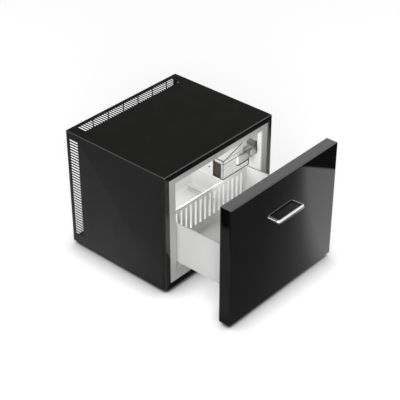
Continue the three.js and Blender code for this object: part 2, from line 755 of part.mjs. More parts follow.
function lampStrip() {
  const top = lampBottom - GAP;
  return block(
    lampLeft, lampLeft + LAMP_WIDTH, housingSeat - LAMP_DEPTH, housingSeat, top - LAMP_STRIP_TALL, top,
  );
}

const thermostatFront = wallBack + GAP;

function thermostatBody() {
  const half = THERMOSTAT_WIDTH / 2;
  const tall = THERMOSTAT_TALL / 2;
  const back = thermostatFront + THERMOSTAT_DEPTH;
  return block(dialX - half, dialX + half, thermostatFront, back, dialZ - tall, dialZ + tall);
}

// Fluted knob with a raised pointer and a shaft through the housing's wall
function thermostatDial() {
  const front = housingSeat - DIAL_DEPTH;
  const knob = alongY(rod(DIAL_RADIUS, DIAL_DEPTH, ROUND_STEPS), dialX, front, dialZ);
  const shaft = alongY(rod(DIAL_SHAFT_RADIUS, DIAL_DEPTH + HOUSING_WALL), dialX, front, dialZ);
  const pointer = block(
    dialX - DIAL_POINTER_WIDTH / 2, dialX + DIAL_POINTER_WIDTH / 2,
    front - DIAL_POINTER_PROUD, front + DIAL_POINTER_PROUD, dialZ, dialZ + DIAL_RADIUS - DIAL_FLUTE_RADIUS,
  );
  const flutes = Array.from({ length: DIAL_FLUTES }, (_, i) => {
    const angle = ((i + 0.5) / DIAL_FLUTES) * Math.PI * 2;
    const x = dialX + DIAL_RADIUS * Math.sin(angle);
    const z = dialZ + DIAL_RADIUS * Math.cos(angle);
    return alongY(rod(DIAL_FLUTE_RADIUS, DIAL_DEPTH, FLUTE_STEPS), x, front - DIAL_FLUTE_RADIUS, z);
  });
  return join(cut(knob, ...flutes), shaft, pointer);
}

add(cabinet, 'lamp_housing', CLEAR, lampHousing());
add(cabinet, 'control_board', BOARD_BROWN, controlBoard());
add(cabinet, 'lamp_lens', LAMP_FROST, lampLens());
add(cabinet, 'lamp_strip', BLACK_PLASTIC, lampStrip());
add(cabinet, 'thermostat_body', BLACK_PLASTIC, thermostatBody());
add(cabinet, 'thermostat_dial', LAMP_FROST, thermostatDial());

// Runners: a channel on the liner's floor, a rail under the bin, a roller on each

// A ring with rounded rims, turned about its axis from 0 to its width
function roller(radius) {
  const bore = PIN_RADIUS + PIN_CLEARANCE;
  return turned([
    [bore, 0], [radius - ROLLER_ROUND, 0], [radius, ROLLER_ROUND],
    [radius, ROLLER_WIDTH - ROLLER_ROUND], [radius - ROLLER_ROUND, ROLLER_WIDTH], [bore, ROLLER_WIDTH],
    [bore, 0],
  ]);
}

// A pin with a flat head at its far end
function rollerPin(length) {
  return turned([
    [0, 0], [PIN_RADIUS, 0], [PIN_RADIUS, length - PIN_HEAD], [PIN_HEAD_RADIUS, length - PIN_HEAD],
    [PIN_HEAD_RADIUS, length], [0, length],
  ], PIN_STEPS);
}

// Lays a turned piece along x from x0 outwards or inwards on either side
function acrossSide(geometry, sign, x0, y, z, inwards) {
  const towards = inwards ? -sign : sign;
  const turn = towards > 0 ? -Math.PI / 2 : Math.PI / 2;
  return geometry.rotateZ(turn).translate(sign * x0, y, z);
}

function pinHole(sign, x0, y, z) {
  const length = 2 * RAIL_WALL + 2 * GAP;
  return acrossSide(rod(PIN_RADIUS + PIN_CLEARANCE, length), sign, x0 + GAP, y, z, true);
}

function fixedRunner(sign) {
  const inner = channelX - CHANNEL_WALL;
  const lip = inner - CHANNEL_LIP;
  const shape = outline([
    [lip, channelFloor - CHANNEL_WALL], [channelX, channelFloor - CHANNEL_WALL],
    [channelX, channelRoof + CHANNEL_WALL], [lip, channelRoof + CHANNEL_WALL],
    [lip, channelRoof], [inner, channelRoof], [inner, channelFloor], [lip, channelFloor],
  ].map(([x, z]) => [sign * x, z]));
  const channel = facing(shape, CHANNEL_FRONT, channelRear);
  return cut(channel, pinHole(sign, channelX, frontRollerY, frontRollerZ));
}

const frontRollerX = channelX - CHANNEL_WALL - ROLLER_SIDE_GAP;
const rearRollerX = railX + ROLLER_SIDE_GAP;
const pinLength = CHANNEL_WALL + 2 * ROLLER_SIDE_GAP + ROLLER_WIDTH + PIN_HEAD;
const railPinLength = pinLength - CHANNEL_WALL + RAIL_WALL;
const railRear = rearRollerY + RAIL_TAIL;
const railShelfTop = binBottom - GAP;
const railBottom = rearRollerZ - RAIL_WEB_DROP;
const tabBack = GAP + RAIL_WALL;
const tabScrewX = railX - RAIL_WALL - RAIL_TAB_WIDTH / 2;
const tabScrewLevels = [
  railBottom + SCREW_HEAD_RADIUS + GAP,
  railShelfTop - RAIL_WALL - SCREW_HEAD_RADIUS - GAP,
];

function screwHole(x, z, front, back, radius = SCREW_RADIUS + PIN_CLEARANCE) {
  return alongY(rod(radius, back - front), x, front, z);
}

function movingRunner(sign) {
  const web = railX - RAIL_WALL;
  const trackEnd = rearRollerY - rearRollerRadius - RAIL_WALL;
  const bars = [
    [web, railX, GAP, railRear, railBottom, railShelfTop],
    [web - RAIL_SHELF, railX, GAP, railRear, railShelfTop - RAIL_WALL, railShelfTop],
    [web, railX + RAIL_TRACK, tabBack, trackEnd, trackBottom, trackBottom + RAIL_WALL],
    [web - RAIL_TAB_WIDTH, railX, GAP, tabBack, railBottom, railShelfTop],
  ].map((bar) => sideBlock(sign, ...bar));
  const screwHoles = tabScrewLevels.map((z) => screwHole(sign * tabScrewX, z, 0, tabBack + GAP));
  return cut(join(...bars), pinHole(sign, railX, rearRollerY, rearRollerZ), ...screwHoles);
}

// A screw along y with its head at the far end
function screw(length) {
  return turned([
    [0, 0], [SCREW_RADIUS, 0], [SCREW_RADIUS, length], [SCREW_HEAD_RADIUS, length],
    [SCREW_HEAD_RADIUS, length + SCREW_HEAD_HEIGHT], [0, length + SCREW_HEAD_HEIGHT],
  ], PIN_STEPS);
}

const tabScrewLength = INNER_PLATE + tabBack + GAP;

for (const [side, sign] of SIDES) {
  const frontPin = acrossSide(rollerPin(pinLength), sign, channelX, frontRollerY, frontRollerZ, true);
  const frontRoller = acrossSide(
    roller(frontRollerRadius), sign, frontRollerX, frontRollerY, frontRollerZ, true,
  );
  add(cabinet, `fixed_runner_${side}`, WHITE_STEEL, fixedRunner(sign));
  add(cabinet, `front_roller_pin_${side}`, ZINC, frontPin);
  add(cabinet, `front_roller_${side}`, NYLON, frontRoller);

  const pinStart = railX - RAIL_WALL;
  const rearPin = acrossSide(rollerPin(railPinLength), sign, pinStart, rearRollerY, rearRollerZ, false);
  const rearRoller = acrossSide(roller(rearRollerRadius), sign, rearRollerX, rearRollerY, rearRollerZ, false);
  add(drawer, `moving_runner_${side}`, WHITE_STEEL, movingRunner(sign));
  add(drawer, `rear_roller_pin_${side}`, ZINC, rearPin);
  add(drawer, `rear_roller_${side}`, NYLON, rearRoller);
  tabScrewLevels.forEach((z, i) => {
    const place = i === 0 ? 'lower' : 'upper';
    const seated = alongY(screw(tabScrewLength), sign * tabScrewX, -INNER_PLATE, z);
    add(drawer, `rail_screw_${side}_${place}`, ZINC, seated);
  });
}

// Drawer front

function frontPanel() {
  const shape = rectangle(new THREE.Shape(), -halfWidth, halfWidth, panelBottom, casingTop);
  const skin = facing(shape, panelFront, skinBack, SKIN_ROUND);
  const holes = SIDES.map(([, sign]) =>
    screwHole(sign * handleArmX, handleLevel, panelFront - GAP, skinBack + GAP));
  return cut(skin, ...holes);
}

const surroundFront = skinBack + GAP;
const plateHalf = halfWidth - SURROUND_WALL - GAP;
const plateBottom = panelBottom + SURROUND_WALL + GAP;
const plateTop = casingTop - SURROUND_WALL - GAP;

function panelSurround() {
  return ring(
    [-halfWidth, halfWidth, panelBottom, casingTop],
    [-plateHalf - GAP, plateHalf + GAP, plateBottom - GAP, plateTop + GAP],
    surroundFront, 0, SURROUND_ROUND,
  );
}

const magnetFront = -INNER_PLATE - GAP - REED_SECTION;

function panelFoam() {
  const core = block(-plateHalf, plateHalf, surroundFront, -INNER_PLATE - GAP, plateBottom, plateTop);
  const pocketBack = surroundFront + SCREW_HEAD_HEIGHT + SCREW_POCKET;
  const pocketRadius = SCREW_HEAD_RADIUS + SCREW_POCKET;
  const pockets = SIDES.map(([, sign]) =>
    screwHole(sign * handleArmX, handleLevel, surroundFront - GAP, pocketBack, pocketRadius));
  return cut(core, ...pockets, reedBox(magnetFront, REED_POCKET));
}

function innerPlate() {
  const plate = block(-plateHalf, plateHalf, -INNER_PLATE, 0, plateBottom, plateTop);
  const holes = SIDES.flatMap(([, sign]) =>
    tabScrewLevels.map((z) => screwHole(sign * tabScrewX, z, -INNER_PLATE - GAP, GAP)));
  return cut(plate, ...holes);
}

// The gasket faces the grey flange, inside its outer edge
function doorGasket() {
  const half = halfWidth - FRAME_WIDTH - GASKET_INSET;
  const bottom = casingBottom + FRAME_SILL + GASKET_INSET;
  const top = casingTop - FRAME_WIDTH - GASKET_INSET;
  return ring(
    [-half, half, bottom, top],
    [-half + GASKET_WIDTH, half - GASKET_WIDTH, bottom + GASKET_WIDTH, top - GASKET_WIDTH],
    GAP, GAP + GASKET_THICKNESS, GASKET_ROUND,
  );
}

// U-shaped bar with its two arms on the panel
function pullHandle() {
  const half = HANDLE_WIDTH / 2;
  const inner = half - HANDLE_BAR;
  const bend = HANDLE_CORNER - HANDLE_BAR;
  const foot = -GAP;
  const far = -HANDLE_PROJECTION;
  const near = far + HANDLE_BAR;
  const shape = new THREE.Shape();
  shape.moveTo(half, foot).lineTo(inner, foot);
  shape.lineTo(inner, near + bend).absarc(inner - bend, near + bend, bend, 0, -Math.PI / 2, true);
  shape.lineTo(-inner + bend, near).absarc(-inner + bend, near + bend, bend, -Math.PI / 2, -Math.PI, true);
  shape.lineTo(-inner, foot).lineTo(-half, foot);
  shape.lineTo(-half, far + HANDLE_CORNER);
  shape.absarc(-half + HANDLE_CORNER, far + HANDLE_CORNER, HANDLE_CORNER, Math.PI, Math.PI * 1.5);
  shape.lineTo(half - HANDLE_CORNER, far);
  shape.absarc(half - HANDLE_CORNER, far + HANDLE_CORNER, HANDLE_CORNER, -Math.PI / 2, 0);
  shape.lineTo(half, foot);
  const bar = extrusion(shape, HANDLE_TALL, HANDLE_ROUND);
  bar.translate(0, panelFront, handleLevel - HANDLE_TALL / 2);
  const holes = SIDES.map(([, sign]) => screwHole(
    sign * handleArmX, handleLevel, panelFront - GAP - HANDLE_SCREW_GRIP, panelFront,
  ));
  return cut(bar, ...holes);
}

add(drawer, 'front_panel', BLACK_GLOSS, frontPanel());
add(drawer, 'front_panel_surround', BLACK_GLOSS, panelSurround());
add(drawer, 'front_panel_foam', FOAM, panelFoam());
add(drawer, 'front_panel_inner_plate', WHITE_PLASTIC, innerPlate());
add(drawer, 'reed_magnet', MAGNET, reedBox(magnetFront, 0));
add(drawer, 'door_gasket', GASKET_RUBBER, doorGasket());
add(drawer, 'pull_handle', BRIGHT_METAL, pullHandle());
const handleScrewLength = SKIN_THICKNESS + HANDLE_SCREW_GRIP - GAP;
for (const [side, sign] of SIDES) {
  const start = surroundFront - handleScrewLength;
  const seated = alongY(screw(handleScrewLength), sign * handleArmX, start, handleLevel);
  add(drawer, `handle_screw_${side}`, ZINC, seated);
}

// Drawer bin

// The bin's side profile between two y values and above a floor, under the sloping rim
function binProfile(front, rear, floor, raise) {
  const slope = BIN_RIM_RISE / (binRear - GAP);
  const rim = (y) => binFrontRim - slope * (y - GAP) + raise;
  return outline([[front, floor], [rear, floor], [rear, rim(rear)], [front, rim(front)]]);
}

function drawerBin() {
  const front = GAP + BIN_LIP;
  const rear = binRear - BIN_LIP;
  const half = binHalf - BIN_LIP;
  const inner = half - BIN_WALL;
  const shell = sideways(binProfile(front, rear, binBottom, 0), -half, half);
  const underLip = binProfile(0, binRear + GAP, binBottom - BIN_LIP_TALL - GAP, -BIN_LIP_TALL);
  const lip = cut(
    sideways(binProfile(GAP, binRear, binBottom, 0), -binHalf, binHalf),
    sideways(underLip, -halfWidth, halfWidth),
  );
  const footHalf = half + BIN_FOOT_RIM;
  const footRim = block(
    -footHalf, footHalf, front - BIN_FOOT_RIM, rear + BIN_FOOT_RIM, binBottom, binBottom + BIN_FOOT_TALL,
  );
  const inside = sideways(
    binProfile(front + BIN_WALL, rear - BIN_WALL, binBottom + BIN_WALL, BIN_LIP_TALL), -inner, inner,
  );
  const slotTop = binFrontRim - BIN_RIM_RISE - BIN_SLOT_BELOW_RIM;
  const slots = spread(-inner + BIN_SLOT_SIDE_MARGIN, inner - BIN_SLOT_SIDE_MARGIN, BIN_SLOT_PITCH).map((x) =>
    block(
      x - BIN_SLOT_WIDTH / 2, x + BIN_SLOT_WIDTH / 2, rear - BIN_WALL - GAP, rear + GAP,
      slotTop - BIN_SLOT_TALL, slotTop,
    ));
  return cut(join(shell, lip, footRim), inside, ...slots);
}

add(drawer, 'drawer_bin', WHITE_PLASTIC, drawerBin());

export default assembly;
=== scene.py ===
"""Finished pieces, surfaces and studio for a drawer minibar cabinet."""

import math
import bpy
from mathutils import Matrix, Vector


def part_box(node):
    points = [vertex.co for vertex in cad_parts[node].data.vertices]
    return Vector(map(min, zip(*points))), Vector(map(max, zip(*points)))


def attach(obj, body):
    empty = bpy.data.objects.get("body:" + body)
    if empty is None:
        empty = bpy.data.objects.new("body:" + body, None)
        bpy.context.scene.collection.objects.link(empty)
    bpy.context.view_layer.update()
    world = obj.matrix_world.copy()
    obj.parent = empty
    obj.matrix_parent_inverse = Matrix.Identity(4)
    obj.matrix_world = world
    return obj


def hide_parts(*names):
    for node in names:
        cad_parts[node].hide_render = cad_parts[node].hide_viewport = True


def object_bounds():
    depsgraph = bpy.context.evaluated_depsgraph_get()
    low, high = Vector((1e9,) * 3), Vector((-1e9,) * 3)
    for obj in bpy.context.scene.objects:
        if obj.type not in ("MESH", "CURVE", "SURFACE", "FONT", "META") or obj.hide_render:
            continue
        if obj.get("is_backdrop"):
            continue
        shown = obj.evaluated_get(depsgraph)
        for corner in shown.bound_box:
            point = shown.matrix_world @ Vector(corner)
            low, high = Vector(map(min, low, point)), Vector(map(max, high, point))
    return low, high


bl_info = {
    "name": "Drawer minibar cabinet",
    "version": (1, 0, 0),
    "blender": (4, 5, 0),
    "location": "3D View > Sidebar > Minibar",
    "description": "Builds the finished pieces of a drawer minibar cabinet and its studio",
    "category": "Object",
}

import bmesh
import bpy
from bpy.props import FloatProperty, FloatVectorProperty, IntProperty, PointerProperty
from mathutils import Matrix, Vector

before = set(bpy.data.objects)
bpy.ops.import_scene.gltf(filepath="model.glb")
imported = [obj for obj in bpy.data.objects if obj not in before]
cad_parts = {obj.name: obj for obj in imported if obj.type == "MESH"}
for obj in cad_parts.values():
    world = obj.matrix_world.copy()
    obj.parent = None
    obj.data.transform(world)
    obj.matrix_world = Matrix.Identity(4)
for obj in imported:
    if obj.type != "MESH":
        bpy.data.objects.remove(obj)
CAD_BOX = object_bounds()

X, Y, Z = 0, 1, 2
MM = 0.001
TOUCH = 1e-6  # points closer than this lie on the same plane
JOIN = 1e-7  # points of a swept or cut face closer than this are one
SEAT = 0.3 * MM  # the gap between pieces fastened face to face
SOFT_ANGLE = math.radians(40.0)  # edges sharper than this are softened
SIDES = (("left", -1), ("right", 1))
ENDS = ("front", "rear")


# Properties

def length(name, description, default_mm):
    return FloatProperty(
        name=name, description=description, default=default_mm * MM, min=0.0,
        subtype="DISTANCE", unit="LENGTH", precision=5,
    )


def place(name, description, default):
    return FloatVectorProperty(
        name=name, description=description, default=default, subtype="TRANSLATION", unit="LENGTH",
    )


def colour(name, description, default):
    return FloatVectorProperty(
        name=name, description=description, default=default, min=0.0, max=1.0,
        size=3, subtype="COLOR",
    )


def factor(name, description, default):
    return FloatProperty(
        name=name, description=description, default=default, min=0.0, max=1.0, subtype="FACTOR",
    )


def power(name, description, default):
    return FloatProperty(name=name, description=description, default=default, min=0.0, unit="POWER")


class MinibarCasing(bpy.types.PropertyGroup):
    """Sizes and colours of the casing"""

    frame_round: length("Frame rounding", "Radius of the front frame's outer edges", 2.6)
    frame_inner_round: length("Frame inner rounding", "Radius of its inner front edge", 0.8)
    sheet_round: length("Sheet rounding", "Radius of the sheets' outer edges", 1.4)
    slot_width: length("Slot width", "Width of a vent slot", 5.4)
    slot_pitch: length("Slot pitch", "Distance between vent slots", 10.0)
    slot_length: length("Slot length", "Length of a vent slot", 39.0)
    slot_rear: length("Slot to rear", "From the slots to the casing's rear edge", 12.0)
    paint: colour("Paint", "Black of the top sheet and base", (0.0205, 0.0204, 0.0195))
    # Painted shade and sheen: the side sheets take the top's paint again, darker and with more
    # sheen, for how light falls on them
    side_paint: colour("Side paint", "Black of the side sheets", (0.0105, 0.0104, 0.0100))
    frame_black: colour("Frame black", "Black of the front frame", (0.0035, 0.0035, 0.0035))
    flange_grey: colour("Flange grey", "Grey of the seal flange", (0.45, 0.45, 0.445))


class MinibarDrawer(bpy.types.PropertyGroup):
    """Sizes and colours of the drawer"""

    skin_round: length("Skin rounding", "Radius of the gloss sheet's polished edges", 1.0)
    surround_round: length("Surround rounding", "Radius of the surround's edges", 1.6)
    handle_round: length("Handle rounding", "Radius of the handle bar's edges", 1.4)
    handle_top_round: length("Handle top rounding", "Radius of the bar's outer top edge", 7.2)
    bin_corner: length("Bin corner", "Radius of the bin's upright corners", 7.0)
    bin_wall: length("Bin wall", "Thickness of the bin's wall", 2.5)
    rim_fall: length("Rim fall", "How much lower the bin's rim is at the rear", 12.0)
    gloss_black: colour("Gloss black", "Black of the drawer front", (0.0035, 0.0035, 0.0037))
    bin_white: colour("Bin white", "White of the bin", (0.675, 0.675, 0.67))


class MinibarInterior(bpy.types.PropertyGroup):
    """Sizes and colours inside the cabinet"""

    corner: length("Liner corner", "Radius of the liner's upright rear corners", 24.0)
    fillet: length("Liner fillet", "Radius along the liner's floor and ceiling", 10.0)
    wall: length("Liner wall", "Thickness of the liner", 2.0)
    liner_white: colour("Liner white", "White of the liner", (0.76, 0.76, 0.755))
    clear_tint: colour("Clear tint", "Tint of the lamp housing", (0.95, 0.945, 0.935))
    fan_blades: IntProperty(name="Fan blades", description="Blades on the rotor", default=7, min=3)


class MinibarStage(bpy.types.PropertyGroup):
    """Studio light, floor and camera"""

    key_power: power("Key light", "Power of the large soft light", 96.0)
    fill_power: power("Fill light", "Power of the low light on the left", 0.85)
    lamp_power: power("Cabinet lamp", "Power of the light inside the liner", 0.7)
    wall_power: power("Wall glow", "Power of the lamp's light on the right wall", 0.26)
    ambient: factor("Ambient", "Strength of the light from all around", 0.36)
    floor_lift: factor("Floor lift", "How much the open floor is lifted towards white", 0.58)
    floor_tone: colour("Floor", "Tone of the pale floor", (0.93, 0.93, 0.93))
    lens: FloatProperty(
        name="Lens", description="Focal length on a 36 mm sensor", default=104.96, unit="CAMERA",
    )
    camera_place: place("Camera", "Where the camera stands", (-2.2996, -2.02415, 2.2659))
    camera_target: place("Target", "What the camera looks at", (-0.09404, -0.06675, 0.27453))


# Mesh helpers

def node_box(node):
    low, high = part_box(node)
    return Vector(low), Vector(high)


def cavity_box(scene):
    """The liner's inside, from its mouth to its rear wall."""
    low, high = node_box("inner_liner")
    wall = scene.minibar_interior.wall
    return low + Vector((wall, 0, wall)), high - Vector((wall, wall, wall))


def once(items):
    """The items in their order, each one once."""
    return list(dict.fromkeys(items))


def edges_of(verts):
    return once(edge for vert in verts for edge in vert.link_edges)


def verts_of(items):
    return once(vert for item in items for vert in item.verts)


def only(kind, geometry):
    return [item for item in geometry if isinstance(item, kind)]


def lies(edge, test):
    return all(test(vert.co) for vert in edge.verts)


def runs_along(edge, axis):
    first, second = edge.verts
    return abs(first.co[axis] - second.co[axis]) > 0.1 * MM


def outermost(bm, axis, sign):
    return max(bm.faces, key=lambda face: sign * face.calc_center_median()[axis])


def round_off(bm, geometry, radius, steps=3, affect="EDGES"):
    return bmesh.ops.bevel(
        bm, geom=geometry, offset=radius, offset_type="OFFSET", affect=affect,
        segments=steps, profile=0.5, material=-1,
    )


def add_block(bm, low, high, radius=0.0, steps=3):
    """A block between two corners, with rounded edges if a radius is given."""
    low, high = Vector(low), Vector(high)
    matrix = Matrix.Translation((low + high) / 2) @ Matrix.Diagonal((*(high - low), 1.0))
    verts = bmesh.ops.create_cube(bm, size=1.0, matrix=matrix)["verts"]
    if radius > 0:
        round_off(bm, edges_of(verts), radius, steps)
    return verts


def rectangle_loop(bm, low, high, level, across=X, along=Z):
    """Four edges round a rectangle; level is the place on the third axis."""
    verts = []
    for u, v in ((low[across], low[along]), (high[across], low[along]),
                 (high[across], high[along]), (low[across], high[along])):
        point = Vector((level, level, level))
        point[across], point[along] = u, v
        verts.append(bm.verts.new(point))
    return [bm.edges.new((verts[i - 1], verts[i])) for i in range(4)]


def draw_out(bm, edges):
    """Extrudes edges; gives the new edges and vertices."""
    made = bmesh.ops.extrude_edge_only(bm, edges=edges)["geom"]
    verts = only(bmesh.types.BMVert, made)
    fresh = set(verts)
    return [e for e in only(bmesh.types.BMEdge, made) if fresh.issuperset(e.verts)], verts


def sweep_frame(bm, stations, across=X, along=Z):
    """Carries a rectangle from station to station and back to the first, into a closed frame."""
    third = ({X, Y, Z} - {across, along}).pop()
    edges = rectangle_loop(bm, *stations[0], across, along)
    loops = [edges]
    seam = verts_of(edges)
    for before, (low, high, level) in zip(stations, stations[1:] + stations[:1]):
        edges, verts = draw_out(bm, edges)
        middle = [(before[0][axis] + before[1][axis]) / 2 for axis in (X, Y, Z)]
        for vert in verts:
            for axis in (across, along):
                vert.co[axis] = high[axis] if vert.co[axis] > middle[axis] else low[axis]
            vert.co[third] = level
        loops.append(edges)
    bmesh.ops.remove_doubles(bm, verts=seam + verts, dist=JOIN)
    return loops


def flat_frame(bm, outer, inner):
    """A frame between two boxes, as deep in y as the outer one."""
    front, back = outer[0].y, outer[1].y
    return sweep_frame(bm, [(*outer, front), (*inner, front), (*inner, back), (*outer, back)])


def grown(box, reach):
    """A box grown in x and z."""
    step = Vector((reach, 0.0, reach))
    return box[0] - step, box[1] + step


def split_faces(bm, faces, axis, level):
    point, normal = Vector(), Vector()
    point[axis], normal[axis] = level, 1.0
    verts = verts_of(faces)
    edges = once(edge for face in faces for edge in face.edges)
    cut = bmesh.ops.bisect_plane(
        bm, geom=[*verts, *edges, *faces], dist=JOIN, plane_co=point, plane_no=normal,
    )
    return only(bmesh.types.BMFace, cut["geom"])


def cut_windows(bm, faces, across, spans, along, span, radius):
    """Cuts a row of round-cornered windows through flat faces."""
    for level in span:
        faces = split_faces(bm, faces, along, level)
    band = [f for f in faces if span[0] < f.calc_center_median()[along] < span[1]]
    for level in (edge for pair in spans for edge in pair):
        band = split_faces(bm, band, across, level)
    windows = [
        f for f in band if any(a < f.calc_center_median()[across] < b for a, b in spans)
    ]
    corners = verts_of(windows)
    bmesh.ops.delete(bm, geom=windows, context="FACES")
    corners = [vert for vert in corners if vert.is_valid]
    round_off(bm, corners, radius, steps=4, affect="VERTICES")


def spread(low, high, pitch):
    """Middles of as many copies as a span holds, even about its middle."""
    count = max(1, round((high - low) / pitch))
    middle = (low + high) / 2
    return [middle + (i - (count - 1) / 2) * pitch for i in range(count)]


def spans_of(middles, width):
    return [(middle - width / 2, middle + width / 2) for middle in middles]


def thicken(bm, offset):
    """Gives flat faces a second side, moved by an offset."""
    made = bmesh.ops.extrude_face_region(bm, geom=bm.faces[:], use_keep_orig=True)
    bmesh.ops.translate(bm, vec=offset, verts=only(bmesh.types.BMVert, made["geom"]))


def add_wall(bm, thickness, floor_up):
    """Gives an open tub a wall behind its faces, which turn inwards if its floor faces up."""
    bmesh.ops.recalc_face_normals(bm, faces=bm.faces[:])
    if (outermost(bm, Z, -1).normal.z > 0) != floor_up:
        bmesh.ops.reverse_faces(bm, faces=bm.faces[:])
    bmesh.ops.solidify(bm, geom=bm.faces[:], thickness=thickness)


def add_turned(bm, profile, centre, axis, steps):
    """Spins a profile of (radius, distance along the axis) pairs into a closed piece."""
    along = Vector()
    along[axis] = 1.0
    outwards = Vector((1.0, 0.0, 0.0)) if axis == Z else Vector((0.0, 0.0, 1.0))
    verts = [bm.verts.new(Vector(centre) + outwards * r + along * d) for r, d in profile]
    edges = [bm.edges.new(pair) for pair in zip(verts, verts[1:])]
    bmesh.ops.spin(
        bm, geom=verts + edges, cent=centre, axis=along, dvec=(0.0, 0.0, 0.0),
        angle=2 * math.pi, steps=steps, use_merge=True,
    )


def shells_of(bm):
    """The faces of a mesh, in lists of those that hang together."""
    left = dict.fromkeys(bm.faces)
    while left:
        shell = [left.popitem()[0]]
        for face in shell:
            beside = once(other for edge in face.edges for other in edge.link_faces)
            for other in (near for near in beside if near in left):
                del left[other]
                shell.append(other)
        yield shell


def turn_outwards(bm):
    """Turns every shell so that its faces enclose a positive volume."""
    bmesh.ops.recalc_face_normals(bm, faces=bm.faces[:])
    bm.normal_update()
    for shell in shells_of(bm):
        volume = sum(
            face.calc_area() * face.normal.dot(face.calc_center_median()) / 3 for face in shell
        )
        if volume < 0:
            bmesh.ops.reverse_faces(bm, faces=shell)


def show_piece(
    node, bm, finish, body, edge=0.0, steps=2, sharp=35.0, others=(), replaces=True,
):
    """Makes an object of a mesh, with its finishes and on its body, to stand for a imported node."""
    name = f"{node}_finished" if replaces else node
    bmesh.ops.remove_doubles(bm, verts=bm.verts[:], dist=TOUCH)
    turn_outwards(bm)
    mesh = bpy.data.meshes.new(name)
    bm.to_mesh(mesh)
    bm.free()
    mesh.shade_smooth()
    mesh.set_sharp_from_angle(angle=math.radians(sharp))
    for surface in (finish, *others):
        mesh.materials.append(surface_of(surface))
    piece = bpy.data.objects.new(name, mesh)
    bpy.context.scene.collection.objects.link(piece)
    if edge > 0:
        soften(piece, edge, steps)
    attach(piece, body)
    if replaces:
        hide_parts(node)


def soften(piece, width, steps):
    edge = piece.modifiers.new("soft_edges", "BEVEL")
    edge.width = width
    edge.segments = steps
    edge.limit_method = "ANGLE"
    edge.angle_limit = SOFT_ANGLE
    edge.harden_normals = True
    return edge


def dress_node(node, finish, edge=0.0, steps=2, edge_finish=None):
    """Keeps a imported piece, merges its triangles, softens its edges and gives it a surface."""
    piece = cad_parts[node]
    surface = surface_of(finish)
    if not piece.material_slots:
        piece.data.materials.append(surface)
    for slot in piece.material_slots:
        slot.material = surface
    if edge > 0:
        weld = piece.modifiers.new("joined", "WELD")
        weld.merge_threshold = TOUCH
        soft = soften(piece, edge, steps)
        if edge_finish:
            piece.data.materials.append(surface_of(edge_finish))
            soft.material = len(piece.data.materials) - 1


# Surface groups, each built once and placed in the finishes with its own values

VECTOR, NUMBER, COLOUR = "NodeSocketVector", "NodeSocketFloat", "NodeSocketColor"


def new_group(name, outputs, tones=()):
    """An empty group that reads a place, a scale and any tones; gives its inner sockets."""
    tree = bpy.data.node_groups.new(name, "ShaderNodeTree")
    inputs = {"Vector": VECTOR, "Scale": NUMBER, **dict.fromkeys(tones, COLOUR)}
    for sockets, way in ((inputs, "INPUT"), (outputs, "OUTPUT")):
        for label, kind in sockets.items():
            tree.interface.new_socket(name=label, in_out=way, socket_type=kind)
    given, made = tree.nodes.new("NodeGroupInput"), tree.nodes.new("NodeGroupOutput")
    return tree, given.outputs, made.inputs


def add_noise(tree, vector, scale, detail, roughness=0.5):
    node = tree.nodes.new("ShaderNodeTexNoise")
    node.inputs["Detail"].default_value = detail
    node.inputs["Roughness"].default_value = roughness
    tree.links.new(vector, node.inputs["Vector"])
    tree.links.new(scale, node.inputs["Scale"])
    return node.outputs["Fac"]


def add_range(tree, value, source, target=(0.0, 1.0)):
    """Maps a value from one range to another and stops at its ends."""
    node = tree.nodes.new("ShaderNodeMapRange")
    for label, number in zip(("From Min", "From Max", "To Min", "To Max"), (*source, *target)):
        node.inputs[label].default_value = number
    tree.links.new(value, node.inputs["Value"])
    return node.outputs["Result"]


def add_math(tree, operation, first, second=0.0):
    node = tree.nodes.new("ShaderNodeMath")
    node.operation = operation
    for socket, value in zip(node.inputs, (first, second)):
        if isinstance(value, (int, float)):
            socket.default_value = value
        else:
            tree.links.new(value, socket)
    return node.outputs["Value"]


def tone_group(name):
    """Soft clouds between two tones, with a mask of the same clouds."""
    tree, given, made = new_group(
        name, {"Color": COLOUR, "Mask": NUMBER}, tones=("Tone", "Second Tone"),
    )
    cloud = add_noise(tree, given["Vector"], given["Scale"], detail=4.0)
    mask = add_range(tree, cloud, (0.32, 0.68))
    mix = tree.nodes.new("ShaderNodeMix")
    mix.data_type = "RGBA"
    tree.links.new(mask, mix.inputs["Factor"])
    tree.links.new(given["Tone"], mix.inputs["A"])
    tree.links.new(given["Second Tone"], mix.inputs["B"])
    tree.links.new(mix.outputs["Result"], made["Color"])
    tree.links.new(mask, made["Mask"])
    return tree


def grain_group(name):
    """Fine grain of a moulded or coated surface: large dimples and small ones."""
    small_share, wide_share, wide_scale = 0.65, 0.35, 0.23
    tree, given, made = new_group(name, {"Height": NUMBER})
    small = add_noise(tree, given["Vector"], given["Scale"], detail=3.0, roughness=0.6)
    scale = add_math(tree, "MULTIPLY", given["Scale"], wide_scale)
    wide = add_noise(tree, given["Vector"], scale, detail=1.0)
    height = add_math(
        tree, "ADD", add_math(tree, "MULTIPLY", small, small_share),
        add_math(tree, "MULTIPLY", wide, wide_share),
    )
    tree.links.new(height, made["Height"])
    return tree


def brushed_group(name):
    """Fine straight lines of drawn or brushed metal along x."""
    tree, given, made = new_group(name, {"Height": NUMBER})
    stretch = tree.nodes.new("ShaderNodeMapping")
    stretch.inputs["Scale"].default_value = (0.04, 1.0, 1.0)
    tree.links.new(given["Vector"], stretch.inputs["Vector"])
    lines = add_noise(tree, stretch.outputs["Vector"], given["Scale"], detail=2.0)
    tree.links.new(lines, made["Height"])
    return tree


